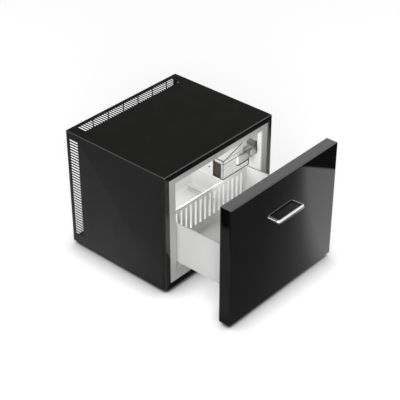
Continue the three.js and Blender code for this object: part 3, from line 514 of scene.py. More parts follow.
def marks_group(name):
    """Faint wiping marks and dust specks that dull a polished surface."""
    speck_scale = 70.0
    tree, given, made = new_group(name, {"Mask": NUMBER})
    smear = add_noise(tree, given["Vector"], given["Scale"], detail=5.0, roughness=0.65)
    patch = add_range(tree, smear, (0.52, 0.78), (0.0, 0.7))
    scale = add_math(tree, "MULTIPLY", given["Scale"], speck_scale)
    dust = add_noise(tree, given["Vector"], scale, detail=0.0)
    speck = add_range(tree, dust, (0.80, 0.84), (0.0, 0.3))
    tree.links.new(add_math(tree, "ADD", patch, speck), made["Mask"])
    return tree


GROUPS = {
    "cloudy_tone": tone_group,
    "fine_grain": grain_group,
    "drawn_lines": brushed_group,
    "handling_marks": marks_group,
}


def place_group(tree, name, vector, scale):
    node = tree.nodes.new("ShaderNodeGroup")
    node.node_tree = bpy.data.node_groups.get(name) or GROUPS[name](name)
    tree.links.new(vector, node.inputs["Vector"])
    node.inputs["Scale"].default_value = scale
    return node


# Finishes: a tone is a colour or a property's path, and a name with a capital is a socket of the
# shader

FINISHES = {
    "casing_powder_coat": dict(
        tone="minibar_casing.paint", shade=0.92, rough=(0.5, 0.62), scale=1100.0, height=0.12,
        Specular_IOR_Level=0.015,
    ),
    "casing_rim_sheen": dict(
        tone="minibar_casing.paint", shade=0.92, rough=(0.16, 0.24), scale=1100.0, height=0.05,
        Specular_IOR_Level=1.0,
    ),
    # Painted shade and sheen: a copy of the top's paint, darker and with more sheen, for the side
    # sheets
    "casing_side_shade_coat": dict(
        tone="minibar_casing.side_paint", shade=0.92, rough=(0.5, 0.6), scale=1100.0, height=0.08,
        Specular_IOR_Level=0.34,
    ),
    "front_frame_polish": dict(
        tone="minibar_casing.frame_black", rough=(0.12, 0.18), scale=1400.0, height=0.02,
        marks=0.05, IOR=1.75,
    ),
    "front_frame_satin": dict(
        tone="minibar_casing.frame_black", rough=(0.2, 0.28), scale=1400.0, height=0.03, marks=0.05,
        Specular_IOR_Level=0.06,
    ),
    "seal_flange_grey": dict(
        tone="minibar_casing.flange_grey", shade=0.94, rough=(0.42, 0.52), scale=1300.0,
        height=0.06,
    ),
    "drawer_front_gloss": dict(
        tone="minibar_drawer.gloss_black", shade=0.8, cloud=6.0, rough=(0.02, 0.035), scale=60.0,
        height=0.004, marks=0.03, IOR=1.88,
    ),
    "liner_white": dict(
        tone="minibar_interior.liner_white", shade=0.97, rough=(0.32, 0.42), scale=700.0,
    ),
    "bin_white": dict(tone="minibar_drawer.bin_white", shade=0.97, rough=(0.34, 0.44), scale=800.0),
    "lamp_housing_clear": dict(
        tone="minibar_interior.clear_tint", shade=0.96, rough=(0.02, 0.06), scale=120.0,
        height=0.01, IOR=1.3, Transmission_Weight=1.0,
    ),
    "lamp_housing_edges": dict(
        tone=(0.14, 0.135, 0.125), shade=0.6, cloud=60.0, rough=(0.06, 0.12), scale=200.0,
        height=0.01,
    ),
    "lamp_lens_frost": dict(
        tone=(0.42, 0.425, 0.43), shade=0.88, cloud=60.0, rough=(0.2, 0.32), scale=500.0,
        height=0.08,
    ),
    "thermostat_smoky_plastic": dict(
        tone=(0.60, 0.58, 0.56), shade=0.8, cloud=60.0, rough=(0.15, 0.3), scale=400.0,
    ),
    "control_board_brown": dict(
        tone=(0.060, 0.040, 0.028), shade=3.2, cloud=170.0, rough=(0.45, 0.7), scale=420.0,
        height=0.5, depth=1 * MM,
    ),
    "zinc_plated_steel": dict(
        tone=(0.42, 0.43, 0.435), shade=0.78, cloud=60.0, rough=(0.3, 0.45), relief="drawn_lines",
        height=0.08, Metallic=1.0,
    ),
    "drawn_aluminium": dict(
        tone=(0.60, 0.61, 0.62), shade=0.88, cloud=40.0, rough=(0.3, 0.42), relief="drawn_lines",
        scale=1200.0, height=0.12, Metallic=1.0,
    ),
    "handle_bright_metal": dict(
        tone=(0.86, 0.86, 0.85), shade=0.95, cloud=30.0, rough=(0.22, 0.3), relief="drawn_lines",
        scale=1600.0, height=0.03, marks=0.08, Metallic=1.0,
    ),
    "runner_white_enamel": dict(tone=(0.70, 0.70, 0.68), shade=0.93, rough=(0.28, 0.4)),
    "black_moulded_plastic": dict(
        tone=(0.018, 0.018, 0.019), shade=0.7, rough=(0.42, 0.58), scale=1000.0, height=0.12,
    ),
    "gasket_rubber": dict(
        tone=(0.045, 0.045, 0.046), shade=0.75, rough=(0.55, 0.72), scale=700.0, height=0.1,
    ),
    "foot_rubber": dict(
        tone=(0.012, 0.012, 0.012), shade=0.6, rough=(0.7, 0.88), scale=600.0, height=0.25,
    ),
    "roller_nylon": dict(
        tone=(0.80, 0.79, 0.75), shade=0.93, rough=(0.3, 0.42), scale=700.0, height=0.04,
        Subsurface_Weight=0.1, Subsurface_Scale=2 * MM,
    ),
    "insulating_foam": dict(
        tone=(0.66, 0.56, 0.33), shade=0.82, cloud=50.0, rough=(0.8, 0.95), scale=350.0, height=0.5,
        depth=1 * MM,
    ),
    "module_ceramic": dict(tone=(0.78, 0.77, 0.73), shade=0.93, rough=(0.5, 0.65), height=0.06),
    "magnet_grey": dict(
        tone=(0.07, 0.07, 0.072), shade=0.7, rough=(0.4, 0.55), scale=1000.0, height=0.1,
        Metallic=0.6,
    ),
}
MARKS_TO_CLOUDS = 0.6  # scale of the wiping marks against that of the tone's clouds


def surface_of(name):
    """A finish of the table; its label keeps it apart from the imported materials."""
    label = f"minibar_{name}"
    return bpy.data.materials.get(label) or make_finish(label, **FINISHES[name])


def make_finish(
    label, tone, shade=0.85, cloud=14.0, rough=(0.4, 0.5), relief="fine_grain", scale=900.0,
    height=0.05, marks=0.0, depth=0.5 * MM, **constants,
):
    """A surface whose tone, gloss and relief vary over it; constants go straight to the shader."""
    finish = bpy.data.materials.new(label)
    finish.use_nodes = True
    tree = finish.node_tree
    shader = tree.nodes["Principled BSDF"]
    if isinstance(tone, str):
        tone = bpy.context.scene.path_resolve(tone)
    spot = tree.nodes.new("ShaderNodeTexCoord").outputs["Object"]
    clouds = place_group(tree, "cloudy_tone", spot, cloud)
    clouds.inputs["Tone"].default_value = (*tone, 1.0)
    clouds.inputs["Second Tone"].default_value = (*(part * shade for part in tone), 1.0)
    tree.links.new(clouds.outputs["Color"], shader.inputs["Base Color"])
    gloss = add_range(tree, clouds.outputs["Mask"], (0.0, 1.0), rough)
    if marks > 0:
        dull = place_group(tree, "handling_marks", spot, cloud * MARKS_TO_CLOUDS)
        dulled = add_math(tree, "MULTIPLY", dull.outputs["Mask"], marks)
        gloss = add_math(tree, "ADD", gloss, dulled)
    tree.links.new(gloss, shader.inputs["Roughness"])
    texture = place_group(tree, relief, spot, scale)
    bump = tree.nodes.new("ShaderNodeBump")
    bump.inputs["Strength"].default_value = height
    bump.inputs["Distance"].default_value = depth
    tree.links.new(texture.outputs["Height"], bump.inputs["Height"])
    tree.links.new(bump.outputs["Normal"], shader.inputs["Normal"])
    for socket, value in constants.items():
        shader.inputs[socket.replace("_", " ")].default_value = value
    return finish


# Operators

class MINIBAR_OT_front_frame(bpy.types.Operator):
    """Black frame round the cabinet's mouth and the grey flange inside it"""

    bl_idname = "minibar.front_frame"
    bl_label = "Front frame and flange"
    bl_options = {"REGISTER", "UNDO"}

    polish, coat, rim = 1, 2, 3  # the frame's surfaces after the satin one

    def execute(self, context):
        sizes = context.scene.minibar_casing
        flange = node_box("seal_flange")
        self.outer_frame(sizes, grown(flange, SEAT))
        bm = bmesh.new()
        loops = flat_frame(bm, flange, cavity_box(context.scene))
        round_off(bm, loops[1], sizes.frame_inner_round)
        show_piece("seal_flange", bm, "seal_flange_grey", "cabinet", edge=0.4 * MM)
        return {"FINISHED"}

    def outer_frame(self, sizes, inner):
        low, high = node_box("front_frame")

        def at_front(co):
            return co.y < low.y + TOUCH

        def outside(co):
            return abs(co.x) > high.x - TOUCH or co.z < low.z + TOUCH or co.z > high.z - TOUCH

        bm = bmesh.new()
        loops = flat_frame(bm, (low, high), inner)
        round_off(bm, loops[1], sizes.frame_inner_round)
        for face in bm.faces:
            middle = face.calc_center_median()
            if at_front(middle) and abs(middle.x) > inner[1].x:
                face.material_index = self.polish
            elif outside(middle):
                face.material_index = self.coat
        outer_edges = [
            edge for edge in bm.edges
            if lies(edge, outside) and (lies(edge, at_front) or runs_along(edge, Y))
        ]
        for face in round_off(bm, outer_edges, sizes.frame_round, steps=5)["faces"]:
            face.material_index = self.rim
        show_piece(
            "front_frame", bm, "front_frame_satin", "cabinet",
            others=("front_frame_polish", "casing_powder_coat", "casing_rim_sheen"),
        )


class MINIBAR_OT_casing(bpy.types.Operator):
    """Top and side sheets with their rows of vent slots, and the base pan"""

    bl_idname = "minibar.casing"
    bl_label = "Casing sheets"
    bl_options = {"REGISTER", "UNDO"}

    top_margins = (34 * MM, 34 * MM)  # from the row of slots to the sheet's ends
    side_margins = (31.7 * MM, 22.7 * MM)
    slot_corner = 0.48  # radius, as a share of the metal between two slots
    rim = 1  # surface of the rounded rim

    def execute(self, context):
        sizes = context.scene.minibar_casing
        self.slotted_sheet(sizes, "top_panel", "casing_powder_coat", Z, 1, X, self.top_margins)
        for side, sign in SIDES:
            self.slotted_sheet(
                sizes, f"{side}_side_panel", "casing_side_shade_coat", X, sign, Z, self.side_margins,
            )
        bm = bmesh.new()
        add_block(bm, *node_box("base_pan"), radius=0.4 * MM, steps=2)
        show_piece("base_pan", bm, "casing_powder_coat", "cabinet")
        return {"FINISHED"}

    def slotted_sheet(self, sizes, node, finish, normal, sign, across, margins):
        """A sheet that faces one way along its normal, its slots in a row across it."""
        low, high = node_box(node)
        outside = high[normal] if sign > 0 else low[normal]
        bm = bmesh.new()
        edges = rectangle_loop(bm, low, high, outside, across, Y)
        bmesh.ops.contextual_create(bm, geom=edges)
        start, end = low[across] + margins[0], high[across] - margins[1]
        spans = spans_of(spread(start, end, sizes.slot_pitch), sizes.slot_width)
        rear = high.y - sizes.slot_rear
        radius = (sizes.slot_pitch - sizes.slot_width) * self.slot_corner
        cut_windows(bm, bm.faces[:], across, spans, Y, (rear - sizes.slot_length, rear), radius)
        offset = Vector()
        offset[normal] = -sign * (high[normal] - low[normal])
        thicken(bm, offset)
        rim_edges = [
            edge for edge in bm.edges
            if lies(edge, lambda co: abs(co[normal] - outside) < JOIN)
            and any(lies(edge, lambda co: abs(co[axis] - level) < JOIN)
                    for axis in (across, Y) for level in (low[axis], high[axis]))
        ]
        for face in round_off(bm, rim_edges, sizes.sheet_round)["faces"]:
            if face.calc_center_median().y > low.y + sizes.sheet_round:
                face.material_index = self.rim
        show_piece(
            node, bm, finish, "cabinet",
            edge=0.2 * MM, steps=1, others=("casing_rim_sheen",),
        )


class MINIBAR_OT_rear(bpy.types.Operator):
    """Open rear guard, bulkhead behind the foam and the four feet"""

    bl_idname = "minibar.rear"
    bl_label = "Rear guard and feet"
    bl_options = {"REGISTER", "UNDO"}

    border = 10 * MM
    bar = 4 * MM
    bar_round = 0.7 * MM
    bar_bite = 1 * MM  # how far a bar runs into the border
    pitch = 68 * MM

    def execute(self, context):
        low, high = node_box("rear_guard")
        inner = grown((low, high), -self.border)
        bm = bmesh.new()
        flat_frame(bm, (low, high), inner)
        bottom, top = inner[0].z - self.bar_bite, inner[1].z + self.bar_bite
        for start, end in spans_of(spread(inner[0].x, inner[1].x, self.pitch), self.bar):
            add_block(bm, (start, low.y, bottom), (end, high.y, top), radius=self.bar_round)
        show_piece("rear_guard", bm, "casing_powder_coat", "cabinet", edge=0.4 * MM)
        dress_node("rear_bulkhead", "zinc_plated_steel", edge=0.2 * MM)
        for side, _ in SIDES:
            for end in ENDS:
                self.foot(f"{end}_foot_{side}")
        return {"FINISHED"}

    def foot(self, node):
        """A tapered foot with a groove in its sole."""
        low, high = node_box(node)
        radius, tall = (high.x - low.x) / 2, high.z - low.z
        middle = (low + high) / 2
        profile = [
            (0.0, 0.0), (radius * 0.55, 0.0), (radius * 0.58, 0.4 * MM), (radius * 0.66, 0.4 * MM),
            (radius * 0.69, 0.0), (radius - 2.4 * MM, 0.0), (radius - 1.8 * MM, 0.7 * MM),
            (radius - 1.0 * MM, tall * 0.55), (radius, tall * 0.7), (radius, tall), (0.0, tall),
        ]
        bm = bmesh.new()
        add_turned(bm, profile, (middle.x, middle.y, low.z), Z, steps=40)
        show_piece(node, bm, "foot_rubber", "cabinet")


class MINIBAR_OT_liner(bpy.types.Operator):
    """White moulded tub inside the cabinet, with rounded corners and a low ledge on each side"""

    bl_idname = "minibar.liner"
    bl_label = "Inner liner"
    bl_options = {"REGISTER", "UNDO"}

    ledge = 133 * MM
    ledge_fall = 2.5 * MM
    ledge_proud = 2.5 * MM
    plug_y = 155 * MM
    plug_z = 161 * MM
    plug_bite = 0.2 * MM  # how far the plug sits in the wall

    def execute(self, context):
        sizes = context.scene.minibar_interior
        low, high = cavity_box(context.scene)
        bm = bmesh.new()
        add_block(bm, low, high)
        bmesh.ops.delete(bm, geom=[outermost(bm, Y, -1)], context="FACES_ONLY")
        upright = [
            edge for edge in bm.edges
            if lies(edge, lambda co: co.y > high.y - TOUCH) and runs_along(edge, Z)
        ]
        round_off(bm, upright, sizes.corner, steps=8)
        flat = [
            edge for edge in bm.edges
            if any(lies(edge, lambda co: abs(co.z - level) < TOUCH) for level in (low.z, high.z))
            and not lies(edge, lambda co: co.y < low.y + TOUCH)
        ]
        round_off(bm, flat, sizes.fillet, steps=5)
        for level in (self.ledge - self.ledge_fall, self.ledge):
            split_faces(bm, bm.faces[:], Z, level)
        below = [vert for vert in bm.verts if vert.co.z < self.ledge - self.ledge_fall / 2]
        bmesh.ops.scale(bm, vec=(1 - self.ledge_proud / high.x, 1.0, 1.0), verts=below)
        add_wall(bm, sizes.wall, floor_up=True)
        show_piece("inner_liner", bm, "liner_white", "cabinet", edge=0.5 * MM)
        self.plug(high.x + self.plug_bite)
        return {"FINISHED"}

    def plug(self, wall):
        """Small dark plug in the right wall, over the temperature sensor."""
        profile = [
            (0.0, 0.0), (3.2 * MM, 0.0), (3.2 * MM, -0.6 * MM), (2.4 * MM, -1.4 * MM),
            (0.0, -1.6 * MM),
        ]
        bm = bmesh.new()
        add_turned(bm, profile, (wall, self.plug_y, self.plug_z), X, steps=24)
        show_piece(
            "sensor_plug", bm, "black_moulded_plastic", "cabinet", replaces=False,
        )


class MINIBAR_OT_bin(bpy.types.Operator):
    """White drawer bin with a sloping lipped rim and upright slots in its rear wall"""

    bl_idname = "minibar.bin"
    bl_label = "Drawer bin"
    bl_options = {"REGISTER", "UNDO"}

    lip = 2.5 * MM
    lip_tall = 5 * MM
    foot_proud = 1.5 * MM
    foot_tall = 4 * MM
    slot_wide = 9 * MM
    slot_pitch = 22 * MM
    slot_tall = 90 * MM
    slot_corner = 0.46  # radius, as a share of the slot's width
    slot_below_rim = 12 * MM
    slot_margin = 14 * MM
    overlap = 0.4 * MM
    corner_steps = 6

    def execute(self, context):
        sizes = context.scene.minibar_drawer
        low, high = node_box("drawer_bin")
        inset = Vector((self.lip, self.lip, 0.0))
        walls = wall_low, wall_high = low + inset, high - inset
        bm = bmesh.new()
        add_block(bm, wall_low, wall_high)
        bmesh.ops.delete(bm, geom=[outermost(bm, Z, 1)], context="FACES_ONLY")
        reach = wall_high.x - sizes.bin_wall - self.slot_margin
        spans = spans_of(spread(-reach, reach, self.slot_pitch), self.slot_wide)
        slot_top = high.z - sizes.rim_fall - self.slot_below_rim
        cut_windows(
            bm, [outermost(bm, Y, 1)], X, spans, Z, (slot_top - self.slot_tall, slot_top),
            self.slot_wide * self.slot_corner,
        )
        upright = [
            edge for edge in bm.edges
            if lies(edge, lambda co: abs(co.x) > wall_high.x - TOUCH) and runs_along(edge, Z)
            and lies(edge, lambda co: co.y < wall_low.y + TOUCH or co.y > wall_high.y - TOUCH)
        ]
        round_off(bm, upright, sizes.bin_corner, self.corner_steps)
        add_wall(bm, sizes.bin_wall, floor_up=False)
        self.band(bm, walls, self.lip, high.z - self.lip_tall, high.z, sizes.bin_corner)
        self.band(bm, walls, self.foot_proud, low.z, low.z + self.foot_tall, sizes.bin_corner)
        fall = sizes.rim_fall / (high.y - low.y)
        for vert in bm.verts:
            if vert.co.z > slot_top + self.slot_below_rim / 2:
                vert.co.z -= fall * (vert.co.y - low.y)
        show_piece("drawer_bin", bm, "bin_white", "drawer", edge=0.6 * MM)
        return {"FINISHED"}

    def band(self, bm, walls, proud, bottom, top, corner):
        """A rib round the outside of the bin."""
        reach, bite = Vector((proud, proud, 0.0)), Vector((self.overlap, self.overlap, 0.0))
        outer = walls[0] - reach, walls[1] + reach
        inner = walls[0] + bite, walls[1] - bite
        before = set(bm.edges)
        stations = [(*outer, bottom), (*inner, bottom), (*inner, top), (*outer, top)]
        sweep_frame(bm, stations, X, Y)
        upright = [edge for edge in bm.edges if edge not in before and runs_along(edge, Z)]
        outside = [edge for edge in upright if abs(edge.verts[0].co.x) > walls[1].x]
        inside = [edge for edge in upright if edge not in outside]
        round_off(bm, inside, corner - self.overlap, self.corner_steps)
        round_off(bm, outside, corner + proud, self.corner_steps)


class MINIBAR_OT_drawer_front(bpy.types.Operator):
    """Gloss sheet, surround, inner plate and gasket of the drawer front"""

    bl_idname = "minibar.drawer_front"
    bl_label = "Drawer front"
    bl_options = {"REGISTER", "UNDO"}

    # The gasket's section, as millimetres from its outer edge and shares of its height
    gasket_section = (
        (0.0, 0.0), (0.0, 0.34), (1.2, 0.42), (0.5, 0.62), (1.4, 0.9), (3.2, 1.0), (5.6, 0.86),
        (6.6, 0.86), (9.0, 1.0), (10.7, 0.9), (11.5, 0.62), (10.8, 0.42), (12.0, 0.34), (12.0, 0.0),
    )

    def execute(self, context):
        sizes = context.scene.minibar_drawer
        bm = bmesh.new()
        add_block(bm, *node_box("front_panel"), radius=sizes.skin_round, steps=4)
        show_piece("front_panel", bm, "drawer_front_gloss", "drawer")
        bm = bmesh.new()
        inner = grown(node_box("front_panel_inner_plate"), SEAT)
        flat_frame(bm, node_box("front_panel_surround"), inner)
        show_piece(
            "front_panel_surround", bm, "drawer_front_gloss", "drawer",
            edge=sizes.surround_round, steps=4,
        )
        dress_node("front_panel_inner_plate", "liner_white", edge=0.4 * MM)
        self.gasket()
        return {"FINISHED"}

    def gasket(self):
        low, high = node_box("door_gasket")
        tall = high.y - low.y
        bm = bmesh.new()
        sweep_frame(bm, [
            (*grown((low, high), -inset * MM), low.y + share * tall)
            for inset, share in self.gasket_section
        ])
        show_piece(
            "door_gasket", bm, "gasket_rubber", "drawer",
            edge=0.35 * MM, sharp=60.0,
        )


class MINIBAR_OT_handle(bpy.types.Operator):
    """Bright bar handle bent to a U, swept from its left foot to its right"""

    bl_idname = "minibar.handle"
    bl_label = "Pull handle"
    bl_options = {"REGISTER", "UNDO"}

    bar = 9 * MM
    corner = 13 * MM
    bend_steps = 10

    def execute(self, context):
        sizes = context.scene.minibar_drawer
        low, high = node_box("pull_handle")
        tall, level = high.z - low.z, (high.z + low.z) / 2
        arm = high.x - self.bar / 2
        straight = high.x - self.corner
        turn_y = low.y + self.corner
        upright = Matrix.Rotation(math.pi / 2, 3, "X")
        bm = bmesh.new()
        section = bmesh.ops.create_grid(bm, x_segments=1, y_segments=1, size=0.5)["verts"]
        bmesh.ops.scale(bm, vec=(self.bar, tall, 1.0), verts=section)
        bmesh.ops.rotate(bm, cent=(0, 0, 0), matrix=upright, verts=section)
        bmesh.ops.translate(bm, vec=(-arm, high.y, level), verts=section)
        outer_top = min(section, key=lambda vert: vert.co.x - vert.co.z)
        others = [vert for vert in section if vert is not outer_top]
        round_off(bm, others, sizes.handle_round, steps=4, affect="VERTICES")
        round_off(bm, [outer_top], sizes.handle_top_round, steps=9, affect="VERTICES")
        edges = self.pull(bm, bm.edges[:], (0.0, turn_y - high.y, 0.0))
        edges = self.bend(bm, edges, (-straight, turn_y, level))
        edges = self.pull(bm, edges, (2 * straight, 0.0, 0.0))
        edges = self.bend(bm, edges, (straight, turn_y, level))
        edges = self.pull(bm, edges, (0.0, high.y - turn_y, 0.0))
        bmesh.ops.contextual_create(bm, geom=edges)
        show_piece("pull_handle", bm, "handle_bright_metal", "drawer", sharp=50.0)
        for side, _ in SIDES:
            dress_node(f"handle_screw_{side}", "zinc_plated_steel")
        return {"FINISHED"}

    def pull(self, bm, edges, offset):
        edges, verts = draw_out(bm, edges)
        bmesh.ops.translate(bm, vec=offset, verts=verts)
        return edges

    def bend(self, bm, edges, centre):
        """Turns the end of the bar by a quarter round an upright axis."""
        made = bmesh.ops.spin(
            bm, geom=verts_of(edges) + edges, cent=centre, axis=(0, 0, 1), dvec=(0, 0, 0),
            angle=math.pi / 2, steps=self.bend_steps, use_merge=False,
        )
        return only(bmesh.types.BMEdge, made["geom_last"])


class MINIBAR_OT_lamp(bpy.types.Operator):
    """Clear lamp housing with its board, lens, strip and thermostat"""

    bl_idname = "minibar.lamp"
    bl_label = "Lamp housing"
    bl_options = {"REGISTER", "UNDO"}

    def execute(self, context):
        dress_node(
            "lamp_housing", "lamp_housing_clear", edge=0.7 * MM, steps=1,
            edge_finish="lamp_housing_edges",
        )
        dress_node("control_board", "control_board_brown")
        dress_node("lamp_lens", "lamp_lens_frost", edge=0.6 * MM)
        dress_node("lamp_strip", "black_moulded_plastic", edge=0.5 * MM)
        dress_node("thermostat_body", "thermostat_smoky_plastic", edge=0.8 * MM)
        dress_node("thermostat_dial", "lamp_lens_frost", edge=0.4 * MM)
        return {"FINISHED"}


class MINIBAR_OT_runners(bpy.types.Operator):
    """Runner channels, rails, pins, screws and the nylon rollers"""

    bl_idname = "minibar.runners"
    bl_label = "Runners and rollers"
    bl_options = {"REGISTER", "UNDO"}

    bore = 2.3 * MM
    hub = 3.6 * MM
    rim = 1.6 * MM
    web = 1.0 * MM  # how far the web lies below the hub and the rim
    draft = 0.2 * MM
    chamfer = 0.8 * MM

    def execute(self, context):
        for side, _ in SIDES:
            for kind in ("fixed", "moving"):
                dress_node(f"{kind}_runner_{side}", "runner_white_enamel", edge=0.25 * MM)
            for end in ENDS:
                dress_node(f"{end}_roller_pin_{side}", "zinc_plated_steel")
                self.roller(f"{end}_roller_{side}", f"roller_{end}_{side}")
            for level in ("lower", "upper"):
                dress_node(f"rail_screw_{side}_{level}", "zinc_plated_steel")
        return {"FINISHED"}

    def roller(self, node, body):
        """A roller with a dished web between its hub and its rim."""
        low, high = node_box(node)
        middle = (low + high) / 2
        radius, wide = (high.z - low.z) / 2, high.x - low.x
        rim = radius - self.rim
        half = [
            (self.bore, 0.0), (self.hub, 0.0), (self.hub + self.draft, self.web),
            (rim - self.draft, self.web), (rim, 0.0), (radius - self.chamfer, 0.0),
            (radius, self.chamfer),
        ]
        profile = [*half, *((r, wide - d) for r, d in reversed(half)), half[0]]
        bm = bmesh.new()
        add_turned(bm, profile, (low.x, middle.y, middle.z), X, steps=48)
        show_piece(node, bm, "roller_nylon", body, sharp=30.0)


class MINIBAR_OT_cooler(bpy.types.Operator):
    """Finned sinks, cold block, module and drip tray"""

    bl_idname = "minibar.cooler"
    bl_label = "Cooler"
    bl_options = {"REGISTER", "UNDO"}

    fin = 2 * MM
    fin_bite = 0.5 * MM  # how far a fin runs into its plate
    fin_taper = 0.7
    fin_round = 0.4 * MM

    def execute(self, context):
        self.finned("heat_sink", base=6 * MM, pitch=8 * MM, sign=1)
        self.finned("cold_sink", base=4 * MM, pitch=10 * MM, sign=-1)
        dress_node("cold_block", "drawn_aluminium", edge=0.3 * MM)
        dress_node("peltier_module", "module_ceramic", edge=0.2 * MM)
        dress_node("drip_tray", "liner_white", edge=0.6 * MM)
        return {"FINISHED"}

    def finned(self, node, base, pitch, sign):
        """A plate with tapered fins along y; sign is the way the fins point."""
        low, high = node_box(node)
        plate_low, plate_high = low.copy(), high.copy()
        if sign > 0:
            root, tip = low.y + base, high.y
            plate_high.y = root
        else:
            root, tip = high.y - base, low.y
            plate_low.y = root
        near, far = sorted((root - sign * self.fin_bite, tip))
        bm = bmesh.new()
        add_block(bm, plate_low, plate_high, radius=0.6 * MM, steps=2)
        for x in spread(low.x, high.x, pitch):
            (start, end), = spans_of([x], self.fin)
            verts = add_block(bm, (start, near, low.z), (end, far, high.z))
            tips = [vert for vert in verts if abs(vert.co.y - tip) < TOUCH]
            for vert in tips:
                vert.co.x = x + (vert.co.x - x) * self.fin_taper
            tip_edges = [edge for edge in edges_of(tips) if all(v in tips for v in edge.verts)]
            round_off(bm, tip_edges, self.fin_round, steps=2)
        show_piece(node, bm, "drawn_aluminium", "cabinet")


class MINIBAR_OT_fan(bpy.types.Operator):
    """Fan shroud with its spokes, and the rotor with twisted blades"""

    bl_idname = "minibar.fan"
    bl_label = "Fan"
    bl_options = {"REGISTER", "UNDO"}

    hub = 14 * MM
    hub_front_round = 1.2 * MM
    hub_rear_round = 0.6 * MM
    bore = 2.3 * MM
    tip_gap = 4.5 * MM
    blade = 1.2 * MM
    blade_bite = 2 * MM  # how far a blade runs into the hub
    blade_arch = 1.6 * MM
    blade_chord = 0.860753  # as a share of the rotor's depth
    root_pitch = 52.0
    twist = 22.0

    def execute(self, context):
        dress_node("fan_frame", "black_moulded_plastic", edge=0.5 * MM)
        low, high = node_box("fan_rotor")
        deep = high.y - low.y
        frame_low, frame_high = node_box("fan_frame")
        reach = (frame_high.x - frame_low.x) / 2 - self.tip_gap
        level = (frame_low.z + frame_high.z) / 2
        profile = [
            (self.bore, 0.0), (self.hub - self.hub_front_round, 0.0),
            (self.hub, self.hub_front_round), (self.hub, deep - self.hub_rear_round),
            (self.hub - self.hub_rear_round, deep), (self.bore, deep), (self.bore, 0.0),
        ]
        bm = bmesh.new()
        add_turned(bm, profile, (0.0, low.y, level), Y, steps=40)
        middle = Vector((0.0, (low.y + high.y) / 2, level))
        blades = context.scene.minibar_interior.fan_blades
        for i in range(blades):
            turn = Matrix.Rotation(2 * math.pi * i / blades, 3, "Y")
            self.add_blade(bm, reach, deep, turn, middle)
        show_piece("fan_rotor", bm, "black_moulded_plastic", "fan")
        return {"FINISHED"}

    def add_blade(self, bm, reach, deep, turn, middle):
        """An arched sheet, flatter towards its tip."""
        made = bmesh.ops.create_grid(bm, x_segments=8, y_segments=6, size=0.5)["verts"]
        faces = once(face for vert in made for face in vert.link_faces)
        root = self.hub - self.blade_bite
        for vert in made:
            share = vert.co.x + 0.5
            radius = root + (reach - root) * share
            pitch = math.radians(self.root_pitch - self.twist * share)
            chord = vert.co.y * deep * self.blade_chord
            arch = self.blade_arch * (1.0 - (2 * vert.co.y) ** 2)
            along = chord * math.cos(pitch) - arch * math.sin(pitch)
            around = chord * math.sin(pitch) + arch * math.cos(pitch)
            vert.co = middle + turn @ Vector((radius, along, around))
        bmesh.ops.recalc_face_normals(bm, faces=faces)
        bmesh.ops.solidify(bm, geom=faces, thickness=self.blade)


class MINIBAR_OT_power(bpy.types.Operator):
    """Power supply box with its folded lid, and the mains inlet"""

    bl_idname = "minibar.power"
    bl_label = "Power supply"
    bl_options = {"REGISTER", "UNDO"}

    lid = 0.8 * MM
    lid_edge = 3 * MM
    lid_fold = 1.5 * MM
    box_round = 1.0 * MM

    def execute(self, context):
        low, high = node_box("power_supply")
        inset, top = Vector((self.lid, 0.0, 0.0)), Vector((0.0, 0.0, self.lid))
        bm = bmesh.new()
        add_block(bm, low + inset, high - inset - top, radius=self.box_round)
        edge = self.lid_edge
        self.cover(bm, low + Vector((0, edge, edge)), high - Vector((0, edge, 0)))
        show_piece("power_supply", bm, "zinc_plated_steel", "cabinet")
        dress_node("power_inlet", "black_moulded_plastic", edge=0.5 * MM)
        return {"FINISHED"}

    def cover(self, bm, low, high):
        """A sheet folded over the top and both sides of the box."""
        before = set(bm.faces)
        verts = add_block(bm, low, high)
        faces = once(face for vert in verts for face in vert.link_faces)
        ends = [face for face in faces if abs(face.normal.y) > 0.5 or face.normal.z < -0.5]
        bmesh.ops.delete(bm, geom=ends, context="FACES")
        left = edges_of(vert for vert in verts if vert.is_valid)
        round_off(bm, [edge for edge in left if len(edge.link_faces) == 2], self.lid_fold)
        sheet = [face for face in bm.faces if face not in before]
        bmesh.ops.solidify(bm, geom=sheet, thickness=self.lid)


class MINIBAR_OT_inner_parts(bpy.types.Operator):
    """Foam, reed switch and magnet that lie inside the walls"""

    bl_idname = "minibar.inner_parts"
    bl_label = "Foam and lamp switch"
    bl_options = {"REGISTER", "UNDO"}

    def execute(self, context):
        dress_node("foam_jacket", "insulating_foam")
        dress_node("front_panel_foam", "insulating_foam")
        dress_node("reed_switch", "black_moulded_plastic", edge=0.4 * MM)
        dress_node("reed_magnet", "magnet_grey", edge=0.4 * MM)
        return {"FINISHED"}


def aimed(direction):
    return direction.to_track_quat("-Z", "Y").to_euler()


